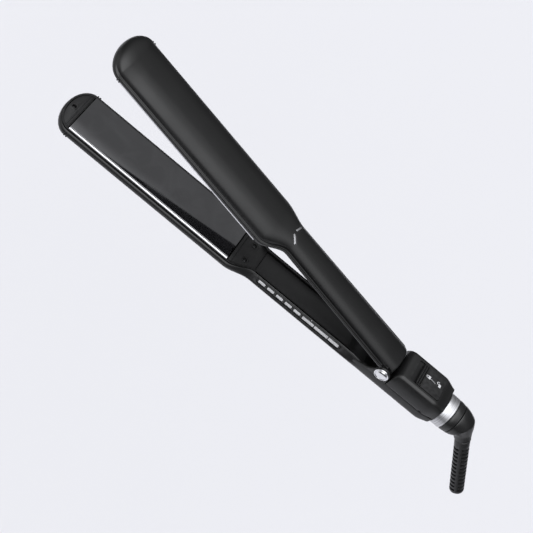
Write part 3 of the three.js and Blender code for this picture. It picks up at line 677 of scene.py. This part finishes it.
def corner_clip(name, half_at, side, z_low, z_high):
    """Three small ribs that hug the side band where the nose begins."""
    bm = bmesh.new()
    for centre in (NOSE_X - 1.5, NOSE_X + 0.2, NOSE_X + 1.9):
        rows = []
        for x, proud in RIB_SECTION:
            line = [(y, z) for y, z in half_at(max(centre + x, NOSE_X))
                    if z_low <= z <= z_high and y > BAND_INNER]
            shrink = side * (1.0 - 0.07 * max(0.0, NOSE_X - centre - x))
            outer, inner = ([Vector((centre + x, (y + out) * shrink, PLATE_PLANE + z)) for y, z in line]
                            for out in (proud, -0.5))
            rows.append(outer + inner[::-1])
        tube(bm, rows)
    return make(name, bm)


for side, label in ((-1, "near"), (1, "far")):
    clip = corner_clip(f"lower_corner_clip_{label}", lower_half, side, -5.4, -2.6)
    finish_with(clip, LACQUER, "housing", "lower_arm")
    clip = corner_clip(f"upper_corner_clip_{label}", upper_half, side, 2.4, 4.9)
    finish_with(open_up(clip), LACQUER, "housing", "upper_arm")

# Heating plates. Long aluminium bars with a dark titanium coating polished to a mirror: the lower one
# has a chamfer along each edge, the upper one a lip, both in bright metal as a painted highlight line;
# the upper one's coating is a darker copy, painted shade. A ceramic heater and a plastic carrier sit behind
# each.
PLATE_HALF = plate_high.y
PLATE_THICK = 2.2


def titanium(name, dark, pale):
    """A dark mirror coating with faint marks and very shallow polishing lines."""
    material, tree, shader = tree_of(name, Metallic=1.0)
    marks = place_group(tree, SMUDGE, Mark_size=16.0, Dust_size=0.5)["Mask"]
    lines = place_group(tree, BRUSHED, Along=4.0, Across=0.02)["Lines"]
    tone = blend_tones(tree, marks, grey(dark), grey(pale))
    dress(tree, shader, tone, remap(tree, marks, 0.06, 0.13, 0.0, 1.0), lines, 0.05, 0.002)
    return material


TITANIUM = titanium("mirror_titanium", 0.155, 0.175)
# The upper plate has the same coating as the lower; this darker copy is painted shade that deepens its
# reflection in the lower plate.
PAINTED_SHADE_TITANIUM = titanium("mirror_titanium_painted_shade", 0.06, 0.075)
# Bright metal for the lower plate's chamfer and the upper plate's lip sides: a painted highlight line along
# each edge.
EDGE_PAINTED_HIGHLIGHT = metal("plate_edge_painted_highlight", 0.74, 0.6, (0.22, 0.32), across_lines=0.05)


def plate(name, face, back, lip=0.0):
    """A bar from its back to its working face; its chamfer, or its lip's sides, are bright metal, a painted
    highlight line.
    """
    out = math.copysign(1.0, face - back)
    wide = PLATE_HALF + lip
    ring = [(PLATE_HALF, back)]
    if lip:
        ring += [(PLATE_HALF, face - out * 1.2), (wide, face - out * 1.2), (wide, face - out * 0.3)]
        ring += [(wide - 0.3, face)]
    else:
        ring += [(wide, face - out * 1.3), (wide - 0.35, face - out * 0.98), (wide - 0.72, face - out * 0.66)]
        ring += [(y, face - out * 0.5 + out * z) for y, z in arc(wide - 1.3, 0.0, 0.5, 0, 90, 5)]
    ring += [(-y, z) for y, z in reversed(ring)]
    made = solid(name, [[Vector((x, y, z)) for y, z in ring] for x in (plate_low.x, PLATE_BACK)], 12.0)
    # The lipped upper bar takes the darker copy, painted shade; the lower bar takes the true coating.
    made.data.materials.append(PAINTED_SHADE_TITANIUM if lip else TITANIUM)
    made.data.materials.append(EDGE_PAINTED_HIGHLIGHT)
    # Material 1, the bright metal, goes on the painted highlight strips.
    for poly in made.data.polygons:
        sideways, depth = abs(poly.normal.y), abs(poly.center.z / MM - face)
        poly.material_index = 1 if sideways > 0.6 and (lip or 0.75 < depth < 0.9) else 0
    return made


UPPER_FACE = PLATE_PLANE + GAP
finish_with(plate("lower_mirror_plate", PLATE_PLANE, PLATE_PLANE - PLATE_THICK),
            None, "plate", "lower_arm", "lower_plate")
finish_with(open_up(plate("upper_mirror_plate", UPPER_FACE, UPPER_FACE + PLATE_THICK, 1.8)),
            None, "plate", "upper_arm", "upper_plate")
CERAMIC = moulded("fired_ceramic", 0.66, 0.8, (0.6, 0.75), 0.5, 0.02)
coat(INNER_PLASTIC, "lower_plate_carrier", "upper_plate_carrier")
coat(CERAMIC, "lower_heater", "upper_heater")

# Plate retainers. Flat shoulder pieces in fine-textured black plastic behind the plates, each
# held by two screws in ringed recesses, with a lip on the plate side and a bend behind.
RETAINER_FRONT, RETAINER_BACK = PLATE_BACK + 1.0, -104.0
UPPER_BACK = RETAINER_BACK + 7.0
TAIL_SCREWS = (("near", -6.75), ("far", 6.75))
LOWER_SCREW_X, UPPER_SCREW_X = -112.8, -115.8


def panel(name, half, side_line):
    """A panel half(x) wide to each side; the side line holds x, the open face's z and the back's."""
    rows = []
    for x, face, back in side_line:
        y = half(x)
        rim = ((-y, back), (-y, face), (0, face), (y, face), (y, back), (0, back))
        rows.append([Vector((x, a, z)) for a, z in rim])
    return solid(name, rows)


def screw_wells(piece, x, z_face, out):
    """A round well for each screw, with a fine ring cut round it."""
    for _, y in TAIL_SCREWS:
        low, high = sorted((z_face - 4 * out, z_face + 2 * out))
        carve(piece, turned("well", rod(1.5, low, high), "Z", (x, y, 0), 32))
        low, high = sorted((z_face - 0.45 * out, z_face + 2 * out))
        ring = [(2.0, low), (2.5, low), (2.5, high), (2.0, high), (2.0, low)]
        carve(piece, turned("ring", ring, "Z", (x, y, 0), 32))


LOWER_LINE = [
    (RETAINER_FRONT, -1.4), (RETAINER_FRONT + 2.0, -1.4), (RETAINER_FRONT + 2.5, -2.2), (-107.0, -2.2),
    (RETAINER_BACK, -2.55),
]
UPPER_LINE = [
    (RETAINER_FRONT, 2.2, 4.4), (-117.0, 2.5, 4.6), (-114.0, 2.9, 5.1), (-106.0, 5.2, 6.6),
    (-100.0, 7.0, 8.2), (UPPER_BACK, 7.7, 8.7),
]
retainer = panel("lower_retainer_panel", lambda x: lower_half(x)[0][0] - 0.6,
                 [(x, PLATE_PLANE + z, PLATE_PLANE - 4.6) for x, z in LOWER_LINE])
screw_wells(retainer, LOWER_SCREW_X, PLATE_PLANE - 2.2, 1)
finish_with(bevel(retainer, 0.15, 25), INNER_PLASTIC, "inner", "lower_arm", "lower_plate_retainer")
retainer = panel("upper_retainer_panel", lambda x: upper_half(x)[0][0] - 0.6,
                 [(x, PLATE_PLANE + a, PLATE_PLANE + b) for x, a, b in through(UPPER_LINE, 5)])
screw_wells(retainer, UPPER_SCREW_X, PLATE_PLANE + 2.55, -1)
finish_with(open_up(bevel(retainer, 0.15, 25)), INNER_PLASTIC, "inner", "upper_arm", "upper_plate_retainer")
for label, y in TAIL_SCREWS:
    lower_screw = screw(f"lower_tail_pan_screw_{label}", LOWER_SCREW_X, y, PLATE_PLANE - 2.75, 1)
    finish_with(lower_screw, BLACK_STEEL, "steel", "lower_arm", f"lower_tail_screw_{label}")
    upper_screw = screw(f"upper_tail_pan_screw_{label}", UPPER_SCREW_X, y, PLATE_PLANE + 3.15, -1)
    finish_with(open_up(upper_screw), BLACK_STEEL, "steel", "upper_arm", f"upper_tail_screw_{label}")

# Inner covers. Long smooth black panels, pressed in between the walls of each handle. The lower
# one steps down behind the keys to clear the spring.
cover_low, cover_high = (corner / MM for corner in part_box("lower_inner_cover"))
COVER_THICK = 1.15
COVER_LINE = [
    (cover_low.x, -2.6), (cover_low.x + 0.8, -2.4), (-60.0, -2.4), (-28.4, -2.4), (-26.4, -2.75),
    (-25.0, -3.9), (-21.8, -5.9), (-20.2, -6.65), (-18.6, -6.8), (cover_high.x, -6.8),
]
cover = panel("lower_cover_panel", lambda x: cover_high.y,
              [(x, PLATE_PLANE + z, PLATE_PLANE + z - COVER_THICK) for x, z in COVER_LINE])
finish_with(bevel(cover, 0.3, 50), INNER_PLASTIC, "inner", "lower_arm", "lower_inner_cover")
cover = prism("upper_cover_panel", rounded(UPPER_BACK + GAP, -24.0, -9.5, 9.5, 1.5),
              PLATE_PLANE + 7.9, PLATE_PLANE + 8.9)
finish_with(open_up(bevel(cover, 0.3, 50)), INNER_PLASTIC, "inner", "upper_arm", "upper_inner_cover")

# Control strip. A satin grey frame lies in a slot in the lower handle, with five temperature
# lights and three keys in silver-white plastic, a pin-hole lamp, and the green board behind.
TRIM = moulded("satin_grey_trim", 0.022, 0.06, (0.38, 0.5), 0.25, 0.012)
LENS_HALF, LENS_REACH, PLAY = 0.85, 2.7, 0.25
LENSES = [-95.2 + 7.3 * i for i in range(5)]
KEYS = [("power", "power_key", -61.4, -52.2), ("heat_down", "heat_down_key", -51.5, -40.3),
        ("heat_up", "heat_up_key", -39.6, -31.4)]


def lens_plastic():
    """Silver-white plastic with a fine mottle and a soft coat."""
    material, tree, shader = tree_of("silver_white_lens", Coat_Weight=0.4, Coat_Roughness=0.2)
    surface = place_group(tree, GRAIN, Grain_size=0.5, Patch_size=3.0)
    marks = place_group(tree, SMUDGE, Mark_size=2.5, Dust_size=0.4)
    tone = blend_tones(tree, surface["Patches"], (0.36, 0.36, 0.37, 1), (0.74, 0.74, 0.76, 1))
    colour = blend_tones(tree, marks["Mask"], tone, (0.55, 0.55, 0.56, 1))
    dress(tree, shader, colour, remap(tree, surface["Patches"], 0.25, 0.4), surface["Height"], 0.2, 0.01)
    return material


LENS = lens_plastic()


def on_strip(piece):
    """Lays a piece of the strip on the handle's sloping side."""
    piece.data.transform(STRIP)
    return piece


trim = prism("control_trim_frame", rounded(SLOT[0] + GAP, SLOT[1] - GAP, -1.5, 1.5, 1.49, 10), 0.5, 1.8,
             side_view)
windows = [(x - LENS_REACH, x + LENS_REACH) for x in LENSES] + [(x0, x1) for _, _, x0, x1 in KEYS]
for x0, x1 in windows:
    window = rounded(x0 - PLAY, x1 + PLAY, -LENS_HALF - PLAY, LENS_HALF + PLAY, 0.4, 3)
    carve(trim, prism("window", window, -1, 4, side_view))
finish_with(on_strip(bevel(trim, 0.1, 50)), TRIM, "trim", "lower_arm", "control_trim")
for i, x in enumerate(LENSES):
    outline = rounded(x - LENS_REACH, x + LENS_REACH, -LENS_HALF, LENS_HALF, 0.55, 5)
    lens = prism(f"light_lens_{i + 1}", outline, 0.3, 2.1, side_view)
    finish_with(on_strip(bevel(lens, 0.22, 50, 3)), LENS, "lens", "lower_arm", f"indicator_lens_{i + 1}")
for label, body, x0, x1 in KEYS:
    key = prism(f"{label}_cap", rounded(x0, x1, -LENS_HALF, LENS_HALF, 0.3, 4), 0.1, 2.1, side_view)
    groove = [(x0 + 0.6, 0.32), (x1 - 0.6, 0.32), (x1 - 0.6, 0.5), (x0 + 0.6, 0.5)]
    carve(key, prism("groove", groove, -1, 0.25, side_view))
    middle = (x0 + x1) / 2
    flange = rounded(x0 + 0.4, x1 - 0.4, -1.6, 0.7, 0.2, 2)
    carve(key, prism("flange", flange, 2.0, 2.7, side_view), "UNION")
    stem = rounded(middle - 1, middle + 1, -0.7, 0.7, 0.2, 2)
    carve(key, prism("stem", stem, 2.6, 4.1, side_view), "UNION")
    finish_with(on_strip(bevel(key, 0.12, 50)), LENS, "lens", body, f"{label}_button")
lamp = turned("ready_lamp", [(0, -0.12), (0.18, -0.1), (0.3, 0.0), (0.3, 0.5), (0, 0.5)],
              "Y", (-55.4, 0, 2.25), 24)
finish_with(on_strip(lamp), LENS, "lens", "lower_arm")


def board_finish():
    """Green solder mask over copper tracks, with the tracks a little raised."""
    material, tree, shader = tree_of("solder_mask", Coat_Weight=0.3)
    bricks = {"Vector": object_place(tree), "Scale": 220.0, "Mortar Size": 0.06}
    tracks = node(tree, "ShaderNodeTexBrick", bricks).outputs["Fac"]
    colour = blend_tones(tree, tracks, (0.012, 0.10, 0.03, 1), (0.04, 0.24, 0.08, 1))
    dress(tree, shader, colour, remap(tree, tracks, 0.45, 0.35, 0.0, 1.0), tracks, 0.4, 0.05)
    return material


coat(board_finish(), "control_board")

# Hinge. A steel pin through both ears carries the upper arm's plastic yoke, and a coil spring
# round it pushes the arms apart. Two domed chrome caps hide the pin's ends.
CHROME = metal("polished_chrome", 0.84, 0.76, (0.12, 0.2), across_lines=0.3, depth=0.001)
coat(STEEL, "hinge_pin", "opening_spring")
coat(INNER_PLASTIC, "hinge_yoke")
CAP_FACE = 14.1
DOME = [(0, 0.0), (4.95, 0.0), (5.1, 0.12)] + through([
    (5.12, 0.3), (5.08, 0.7), (4.85, 0.98), (4.5, 1.05), (4.25, 0.88), (4.05, 0.76), (3.85, 0.9), (3.5, 1.3),
    (2.8, 1.65), (1.9, 1.86), (0.9, 1.93), (0, 1.95)], 3)
for side, label, size, rise in ((-1, "near", 1.0, 1.0), (1, "far", 0.6, 0.25)):
    dome = [(r * size, side * (CAP_FACE + h * rise)) for r, h in DOME]
    cap = turned(f"pin_cap_dome_{label}", dome, "Y", HINGE, 96)
    finish_with(cap, CHROME, "chrome", "lower_arm", f"pin_cap_{label}")

# Rear housing. The fixed block behind the hinge, lacquered like the arms: rounded in front, flat
# on top with a recess for the sliding lock, and drawn in behind to the swivel's round opening.
HOUSING = [
    (12.7, 0.75), (13.1, 0.6), (13.9, 0.65), (14.25, 1.2), (14.3, 3.2), (14.1, 6.0), (13.5, 9.2),
    (12.6, 12.0), (11.9, 13.4), (10.7, 14.3), (9.3, 14.5), (4.0, 14.5), (0.0, 14.5),
]
housing_low, housing_high = (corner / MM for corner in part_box("rear_housing"))
HOUSING_TOP = housing_high.z
HOUSING_FRONT = housing_low.x
FRONT_ROUNDING = 5.0


def housing_half(x):
    """The housing's half profile at x: domed up at its front, drawn in and down at its rear."""
    dome = math.sqrt(max(0.0, 1 - (1 - min(1.0, (x - HOUSING_FRONT) / FRONT_ROUNDING)) ** 2))
    rear = ease(x, REAR_START, BODY_END + 1.0)
    rise = (0.3 + 0.7 * dome) * (1 - 0.3 * rear)
    return through([
        (y * (1 - 0.16 * rear) * (0.97 + 0.03 * dome), 7 + (z - 7) * rise if z > 7 else z) for y, z in HOUSING
    ])


def housing_solid(name, stations, inset):
    """The housing's outer form, or its hollow when there is an inset."""
    rows = []
    for x in stations:
        line = housing_half(x)
        if inset:
            line = [(max(0.0, y - min(inset, y * 0.4)), max(1.4, z - inset * min(1.0, z / 8)))
                    for y, z in line]
        rows.append(across(x, line))
    return solid(name, rows)


front_steps = [HOUSING_FRONT + FRONT_ROUNDING * (1 - math.cos(a)) for a in span(0.0, math.pi / 2, 8)]
housing = housing_solid(
    "rear_housing_skin", front_steps + span(13.0, REAR_START, 6) + span(37.3, BODY_END, 8), 0.0)
carve(housing, housing_solid("hollow", [9.6, 12.5, 20, 30, REAR_START, 40, 43.8], 2.2))
carve(housing, prism("track", rounded(15.5, 38.6, -8.8, 8.8, 1.2), HOUSING_TOP - 1.4, HOUSING_TOP + 3))
carve(housing, prism("stem_slot", rounded(20.2, 32.3, -3.3, 3.3, 1.0), HOUSING_TOP - 5, HOUSING_TOP + 3))
carve(housing, turned("collar_hole", rod(COLLAR_HOLE, 42, 50), "X", (0, 0, SWIVEL_Z), 96))
for side in (-1, 1):
    low, high = sorted((12.9 * side, 15.0 * side))
    carve(housing, prism("notch", arc(35.4, PLATE_PLANE + 0.4, 1.5, 0, 180), low, high, side_view))
bevel(housing, 0.3, 42, 3)
finish_with(housing, LACQUER, "housing", "lower_arm", "rear_housing")

# Sliding lock. A moulded black panel with three grip ribs runs in the recess; a small closed
# padlock, an arrow line and an open padlock are printed on it in pale ink.
slider_low, slider_high = (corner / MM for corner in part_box("latch_slider"))
SLIDER_TOP = HOUSING_TOP + 0.3
slider = prism("latch_slider_panel", rounded(slider_low.x, slider_high.x, -8.5, 8.5, 0.9),
               HOUSING_TOP - 1.1, SLIDER_TOP)
for x in (slider_low.x + 1.1, slider_low.x + 2.7):
    groove = rounded(x - 0.25, x + 0.45, -7.9, 7.9, 0.3, 3)
    carve(slider, prism("groove", groove, SLIDER_TOP - 0.6, SLIDER_TOP + 1))
for x in (slider_low.x + 0.05, slider_low.x + 1.6, slider_low.x + 3.2):
    foot = HOUSING_TOP - 0.2
    rib = [(x, foot)] + arc(x + 0.4, HOUSING_TOP + 0.8, 0.39, 180, 0, 8) + [(x + 0.8, foot)]
    carve(slider, prism("rib", rib, -8.3, 8.3, side_view), "UNION")
carve(slider, prism("stem", rounded(24, 32, -3, 3, 0.6), HOUSING_TOP - 5.4, HOUSING_TOP - 0.9), "UNION")
carve(slider, prism("keeper", rounded(22, 32, -5.2, 5.2, 0.6), HOUSING_TOP - 5.6, HOUSING_TOP - 4.4), "UNION")
finish_with(bevel(slider, 0.22, 50, 3), LACQUER, "housing", "lock_slider", "latch_slider")


def pale_ink():
    """Thin screen-printed ink, a little patchy."""
    material, tree, shader = tree_of("pale_ink")
    surface = place_group(tree, GRAIN, Grain_size=0.15, Patch_size=1.2)
    colour = blend_tones(tree, surface["Patches"], grey(0.45), grey(0.75))
    dress(tree, shader, colour, remap(tree, surface["Patches"], 0.45, 0.6))
    return material


INK = pale_ink()
INK_HEIGHTS = (SLIDER_TOP - 0.02, SLIDER_TOP + 0.06)


def padlock(x, y, shift):
    """Body and shackle, the shackle towards the tip; shift slides it aside when it is open."""
    body = rounded(x, x + 1.7, y - 1.15, y + 1.15, 0.25, 3)
    middle, foot = y + shift, x + 0.05
    shackle = [(foot, middle + 0.95)] + arc(x - 0.75, middle, 0.95, 90, 270) + [(foot, middle - 0.95)]
    shackle += [(foot, middle - 0.55)] + arc(x - 0.75, middle, 0.55, 270, 90) + [(foot, middle + 0.55)]
    return [body, shackle]


arrow = [[(28.0, 1.45), (31.6, 0.75), (31.65, 0.95), (28.05, 1.65)], arc(28.0, 1.55, 0.28, 0, 360, 12)[:-1]]
marks = bmesh.new()
for outline in padlock(25.4, 1.8, 0.0) + padlock(33.9, 1.5, 1.4) + arrow:
    tube(marks, [[Vector((x, y, z)) for x, y in outline] for z in INK_HEIGHTS])
finish_with(make("lock_marks", marks), INK, "lens", "lock_slider")

# Swivel ring. A turned aluminium band with fine chamfers, brushed round its length. It is pressed
# over the end of the housing, and the cord boot turns inside it.
RING = metal("brushed_ring", 0.74, 0.36, (0.38, 0.52), along=0.02, across_lines=3.0, depth=0.01)
ring_low, ring_high = (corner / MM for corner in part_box("swivel_ring"))
RING_R, RING_BORE = ring_high.y, 9.0
CHAMFER = [(0.4, 0.0), (0.05, 0.3), (0.0, 0.6)]
profile = [(RING_BORE, ring_low.x)] + [(RING_R - drop, ring_low.x + along) for drop, along in CHAMFER]
profile += [(RING_R - drop, ring_high.x - along) for drop, along in CHAMFER[::-1]]
profile += [(RING_BORE, ring_high.x), (RING_BORE, ring_low.x)]
ring = turned("swivel_ring_band", profile, "X", (0, 0, SWIVEL_Z), 160)
finish_with(ring, RING, "ring", "lower_arm", "swivel_ring")

# Cord boot. A turned collar, a bent neck and a slotted strain relief, all in black vinyl, turn
# together in the ring. No cord hangs from it; its bore is open.
BOOT = moulded("satin_vinyl", 0.009, 0.035, (0.30, 0.42), 0.5, 0.015)
BOOT_FRAME = Matrix.Translation((0, 0, SWIVEL_Z * MM)) @ Matrix.Rotation(math.radians(-17.0), 4, "X")
BEND = math.radians(54.2)
CORNER = Vector((67.0, 0.0, 0.0))
SEAM_X = 59.0
RELIEF_START, RELIEF_END = 10.5, 55.0


def turned_boot(piece):
    """Brings a boot laid out on the x axis to the swivel's centre, turned a little about it."""
    piece.data.transform(BOOT_FRAME)
    return piece


collar = turned("swivel_collar_turned", [
    (3.0, 39.0), (9.4, 39.0), (9.5, 39.2), (9.5, 41.4), (8.6, 41.4), (8.6, ring_high.x + GAP),
    (11.0, ring_high.x + GAP), (11.3, ring_high.x + 0.6), (11.5, 55.0), (11.5, 55.9), (11.3, 57.4),
    (11.1, SEAM_X - 0.3), (10.8, SEAM_X), (3.0, SEAM_X), (3.0, 39.0)], "X", (0, 0, 0), 96)
finish_with(turned_boot(collar), BOOT, "boot", "cord_boot", "swivel_collar")


def down(distance):
    """A point on the bent end's axis, at a distance from the bend's corner."""
    return CORNER + Vector((math.cos(BEND), 0.0, -math.sin(BEND))) * distance


def hoop(centre, angle, radius, count=64):
    """A ring about a point, tilted by an angle."""
    up = Vector((math.sin(angle), 0.0, math.cos(angle)))
    return [centre + up * radius * math.cos(t) + Vector((0, radius * math.sin(t), 0))
            for t in span(0.0, 2 * math.pi, count)[:-1]]


# The neck's and the bore's rows are centre x, centre z, share of the bend, radius.
LIFT = Vector((math.sin(BEND), 0.0, math.cos(BEND))) * 0.95
NECK = [
    (SEAM_X + 0.3, 0.0, 0.0, 10.8), (SEAM_X + 0.7, -0.05, 0.03, 11.1), (61.8, -0.35, 0.2, 10.75),
    (64.6, -1.1, 0.42, 10.2), (65.2, -1.35, 0.52, 9.9), (65.8, -1.9, 0.7, 9.1),
    (*(down(4.6) - LIFT).xz, 1.0, 6.8), (*(down(8.4) - LIFT * 0.3).xz, 1.0, 5.85), (*down(10.0).xz, 1.0, 5.6),
    (*down(10.2).xz, 1.0, 5.4),
]
NECK_BORE = [
    (SEAM_X - 1, 0.0, 0.0, 5.4), (62.4, -0.5, 0.28, 5.25), (65.6, -1.5, 0.6, 4.6), (*down(4.6).xz, 1.0, 3.5),
    (*down(11.5).xz, 1.0, 2.75),
]
neck = solid("swivel_neck", [
    hoop(Vector((x, 0, z)), BEND * min(1.0, share), r) for x, z, share, r in through(NECK, 5)])
carve(neck, solid("bore", [hoop(Vector((x, 0, z)), BEND * share, r, 32) for x, z, share, r in NECK_BORE]))
finish_with(turned_boot(neck), BOOT, "boot", "cord_boot", "swivel_elbow")

RELIEF_LENGTH = RELIEF_END - RELIEF_START
RELIEF_LINE = [  # distance along the relief, radius
    (0, 5.0), (0.35, 5.3), (2.0, 5.3), (3.0, 5.2), (RELIEF_LENGTH - 2.4, 4.95), (RELIEF_LENGTH - 1.2, 4.85),
    (RELIEF_LENGTH - 0.4, 4.45), (RELIEF_LENGTH, 3.8),
]
BORE_RADIUS, OVERRUN = 2.4, 2
relief = solid("strain_relief_sleeve", [hoop(down(RELIEF_START + d), BEND, r) for d, r in RELIEF_LINE])
carve(relief, solid("bore", [
    hoop(down(RELIEF_START + d), BEND, BORE_RADIUS, 32) for d in (-OVERRUN, RELIEF_LENGTH + OVERRUN)]))
SLOT_COUNT, FIRST_SLOT, SLOT_PITCH = 12, 6.4, 3.15
SLOT_INNER, SLOT_OUTER, SLOT_HALF = 3.1, 6.5, 0.78
half_ring = arc(0, 0, SLOT_INNER, 90 - 70, 90 + 70, 14) + arc(0, 0, SLOT_OUTER, 90 + 80, 90 - 80, 10)
cutters = bmesh.new()
for i in range(SLOT_COUNT):
    middle = down(RELIEF_START + FIRST_SLOT + SLOT_PITCH * i)
    place = Matrix.Translation(middle) @ Matrix.Rotation(BEND, 4, "Y")
    for side in (-1, 1):
        tube(cutters, [[place @ Vector((x, a, side * b)) for a, b in half_ring]
                       for x in (-SLOT_HALF, SLOT_HALF)])
carve(relief, make("slots", cutters))
bevel(relief, 0.12, 50)
finish_with(turned_boot(relief), BOOT, "boot", "cord_boot", "strain_relief")

# Inlaid dashes. Two short bars of brushed silver are pressed into pockets in the upper arm's
# crown. Each bar's top follows the crown and stands a hair above it, with its edges drawn down.
CORNER_ROUNDING = 0.35
PROUD, EDGE_DROP, DASH_DEPTH = 0.08, 0.12, 0.6
for name, x, y, size, angle in DASHES:
    low = min(crown_height(a, b) for a, b in dash_plan(x, y, size, angle, 0.0))
    bm = bmesh.new()
    turn = Matrix.Rotation(math.radians(angle), 2)
    top = []
    for u in span(-size / 2, size / 2, 16):
        end = min(1.0, (size / 2 - abs(u)) / CORNER_ROUNDING)
        width = DASH_WIDTH / 2 - CORNER_ROUNDING * (1 - math.sqrt(max(0.0, 1 - (1 - end) ** 2)))
        row = []
        for share in (-1.0, -0.85, -0.5, 0.0, 0.5, 0.85, 1.0):
            spot = turn @ Vector((u, share * width)) + Vector((x, y))
            drop = EDGE_DROP if abs(share) == 1.0 or abs(abs(u) - size / 2) < 1e-6 else 0.0
            row.append(Vector((spot.x, spot.y, crown_height(*spot) + PROUD - drop)))
        top.append(row)
    bottom = [[Vector((p.x, p.y, low - DASH_DEPTH)) for p in row] for row in top]
    grid(bm, [t + b[::-1] for t, b in zip(top, bottom)], closed=True)
    for t, b in ((top[0], bottom[0]), (top[-1], bottom[-1])):
        grid(bm, [t, b])
    finish_with(open_up(make(name + "_bar", bm)), RING, "ring", "upper_arm", name)

# Stage. A pale floor well below the iron, soft patches of light from above, the tip, the keys'
# side and the far side, and the camera that looks down on the keys' side.
scene = bpy.context.scene
scene.view_settings.view_transform = "Standard"
camera = bpy.data.objects.new("camera", bpy.data.cameras.new("camera"))
scene.collection.objects.link(camera)
camera.data.lens, camera.data.sensor_width = 86.47, 36.0
camera.location = (-0.18787, -0.49799, 0.65375)
gaze, roll = Vector((0.10849, 0.60836, -0.78621)), math.radians(47.65)
camera.rotation_mode = "QUATERNION"
camera.rotation_quaternion = gaze.to_track_quat("-Z", "Y") @ Quaternion((0, 0, 1), roll)
scene.camera = camera

FLOOR_CENTRE, FLOOR_RADIUS = (0.0, 0.15, -0.6), 1.6
floor_mesh = bmesh.new()
bmesh.ops.create_circle(floor_mesh, cap_ends=True, segments=64, radius=FLOOR_RADIUS,
                        matrix=Matrix.Translation(FLOOR_CENTRE))
floor = make("floor", floor_mesh)
floor_paint, tree, shader = tree_of("pale_floor", Roughness=0.9, Specular_IOR_Level=0.1)
surface = place_group(tree, GRAIN, Grain_size=2.0, Patch_size=400.0)
paint = blend_tones(tree, surface["Patches"], (0.712, 0.710, 0.736, 1), (0.722, 0.720, 0.746, 1))
tree.links.new(paint, shader.inputs["Base Color"])
floor.data.materials.append(floor_paint)

world = bpy.data.worlds.new("studio")
world.use_nodes = True
scene.world = world
tree = world.node_tree
background = tree.nodes["Background"]
direction = node(tree, "ShaderNodeTexCoord").outputs["Generated"]


def lobe(towards, wide, narrow, strength):
    """A soft round patch of light: nothing beyond wide degrees from its middle, full within narrow."""
    facing = node(tree, "ShaderNodeVectorMath", {0: direction, 1: Vector(towards).normalized()},
                  operation="DOT_PRODUCT").outputs["Value"]
    start, end = (math.cos(math.radians(angle)) for angle in (wide, narrow))
    return remap(tree, facing, 0.0, strength, start, end, interpolation_type="SMOOTHSTEP")


LOBES = [
    ((-0.05, -0.30, 0.95), 52, 16, 2.75),
    ((-0.90, -0.30, 0.10), 45, 15, 0.6),
    ((0.10, -0.82, 0.55), 24, 8, 1.5),
    ((0.11, 0.61, 0.79), 40, 15, 0.30),
]
AMBIENT, BACKDROP = 0.09, 0.885
light = AMBIENT
for patch in LOBES:
    light = maths(tree, "ADD", light, lobe(*patch))
seen = node(tree, "ShaderNodeLightPath").outputs["Is Camera Ray"]
strength = node(tree, "ShaderNodeMix", {0: seen, 2: light, 3: BACKDROP}).outputs[0]
tree.links.new(strength, background.inputs["Strength"])
background.inputs["Color"].default_value = (0.97, 0.98, 1.0, 1.0)
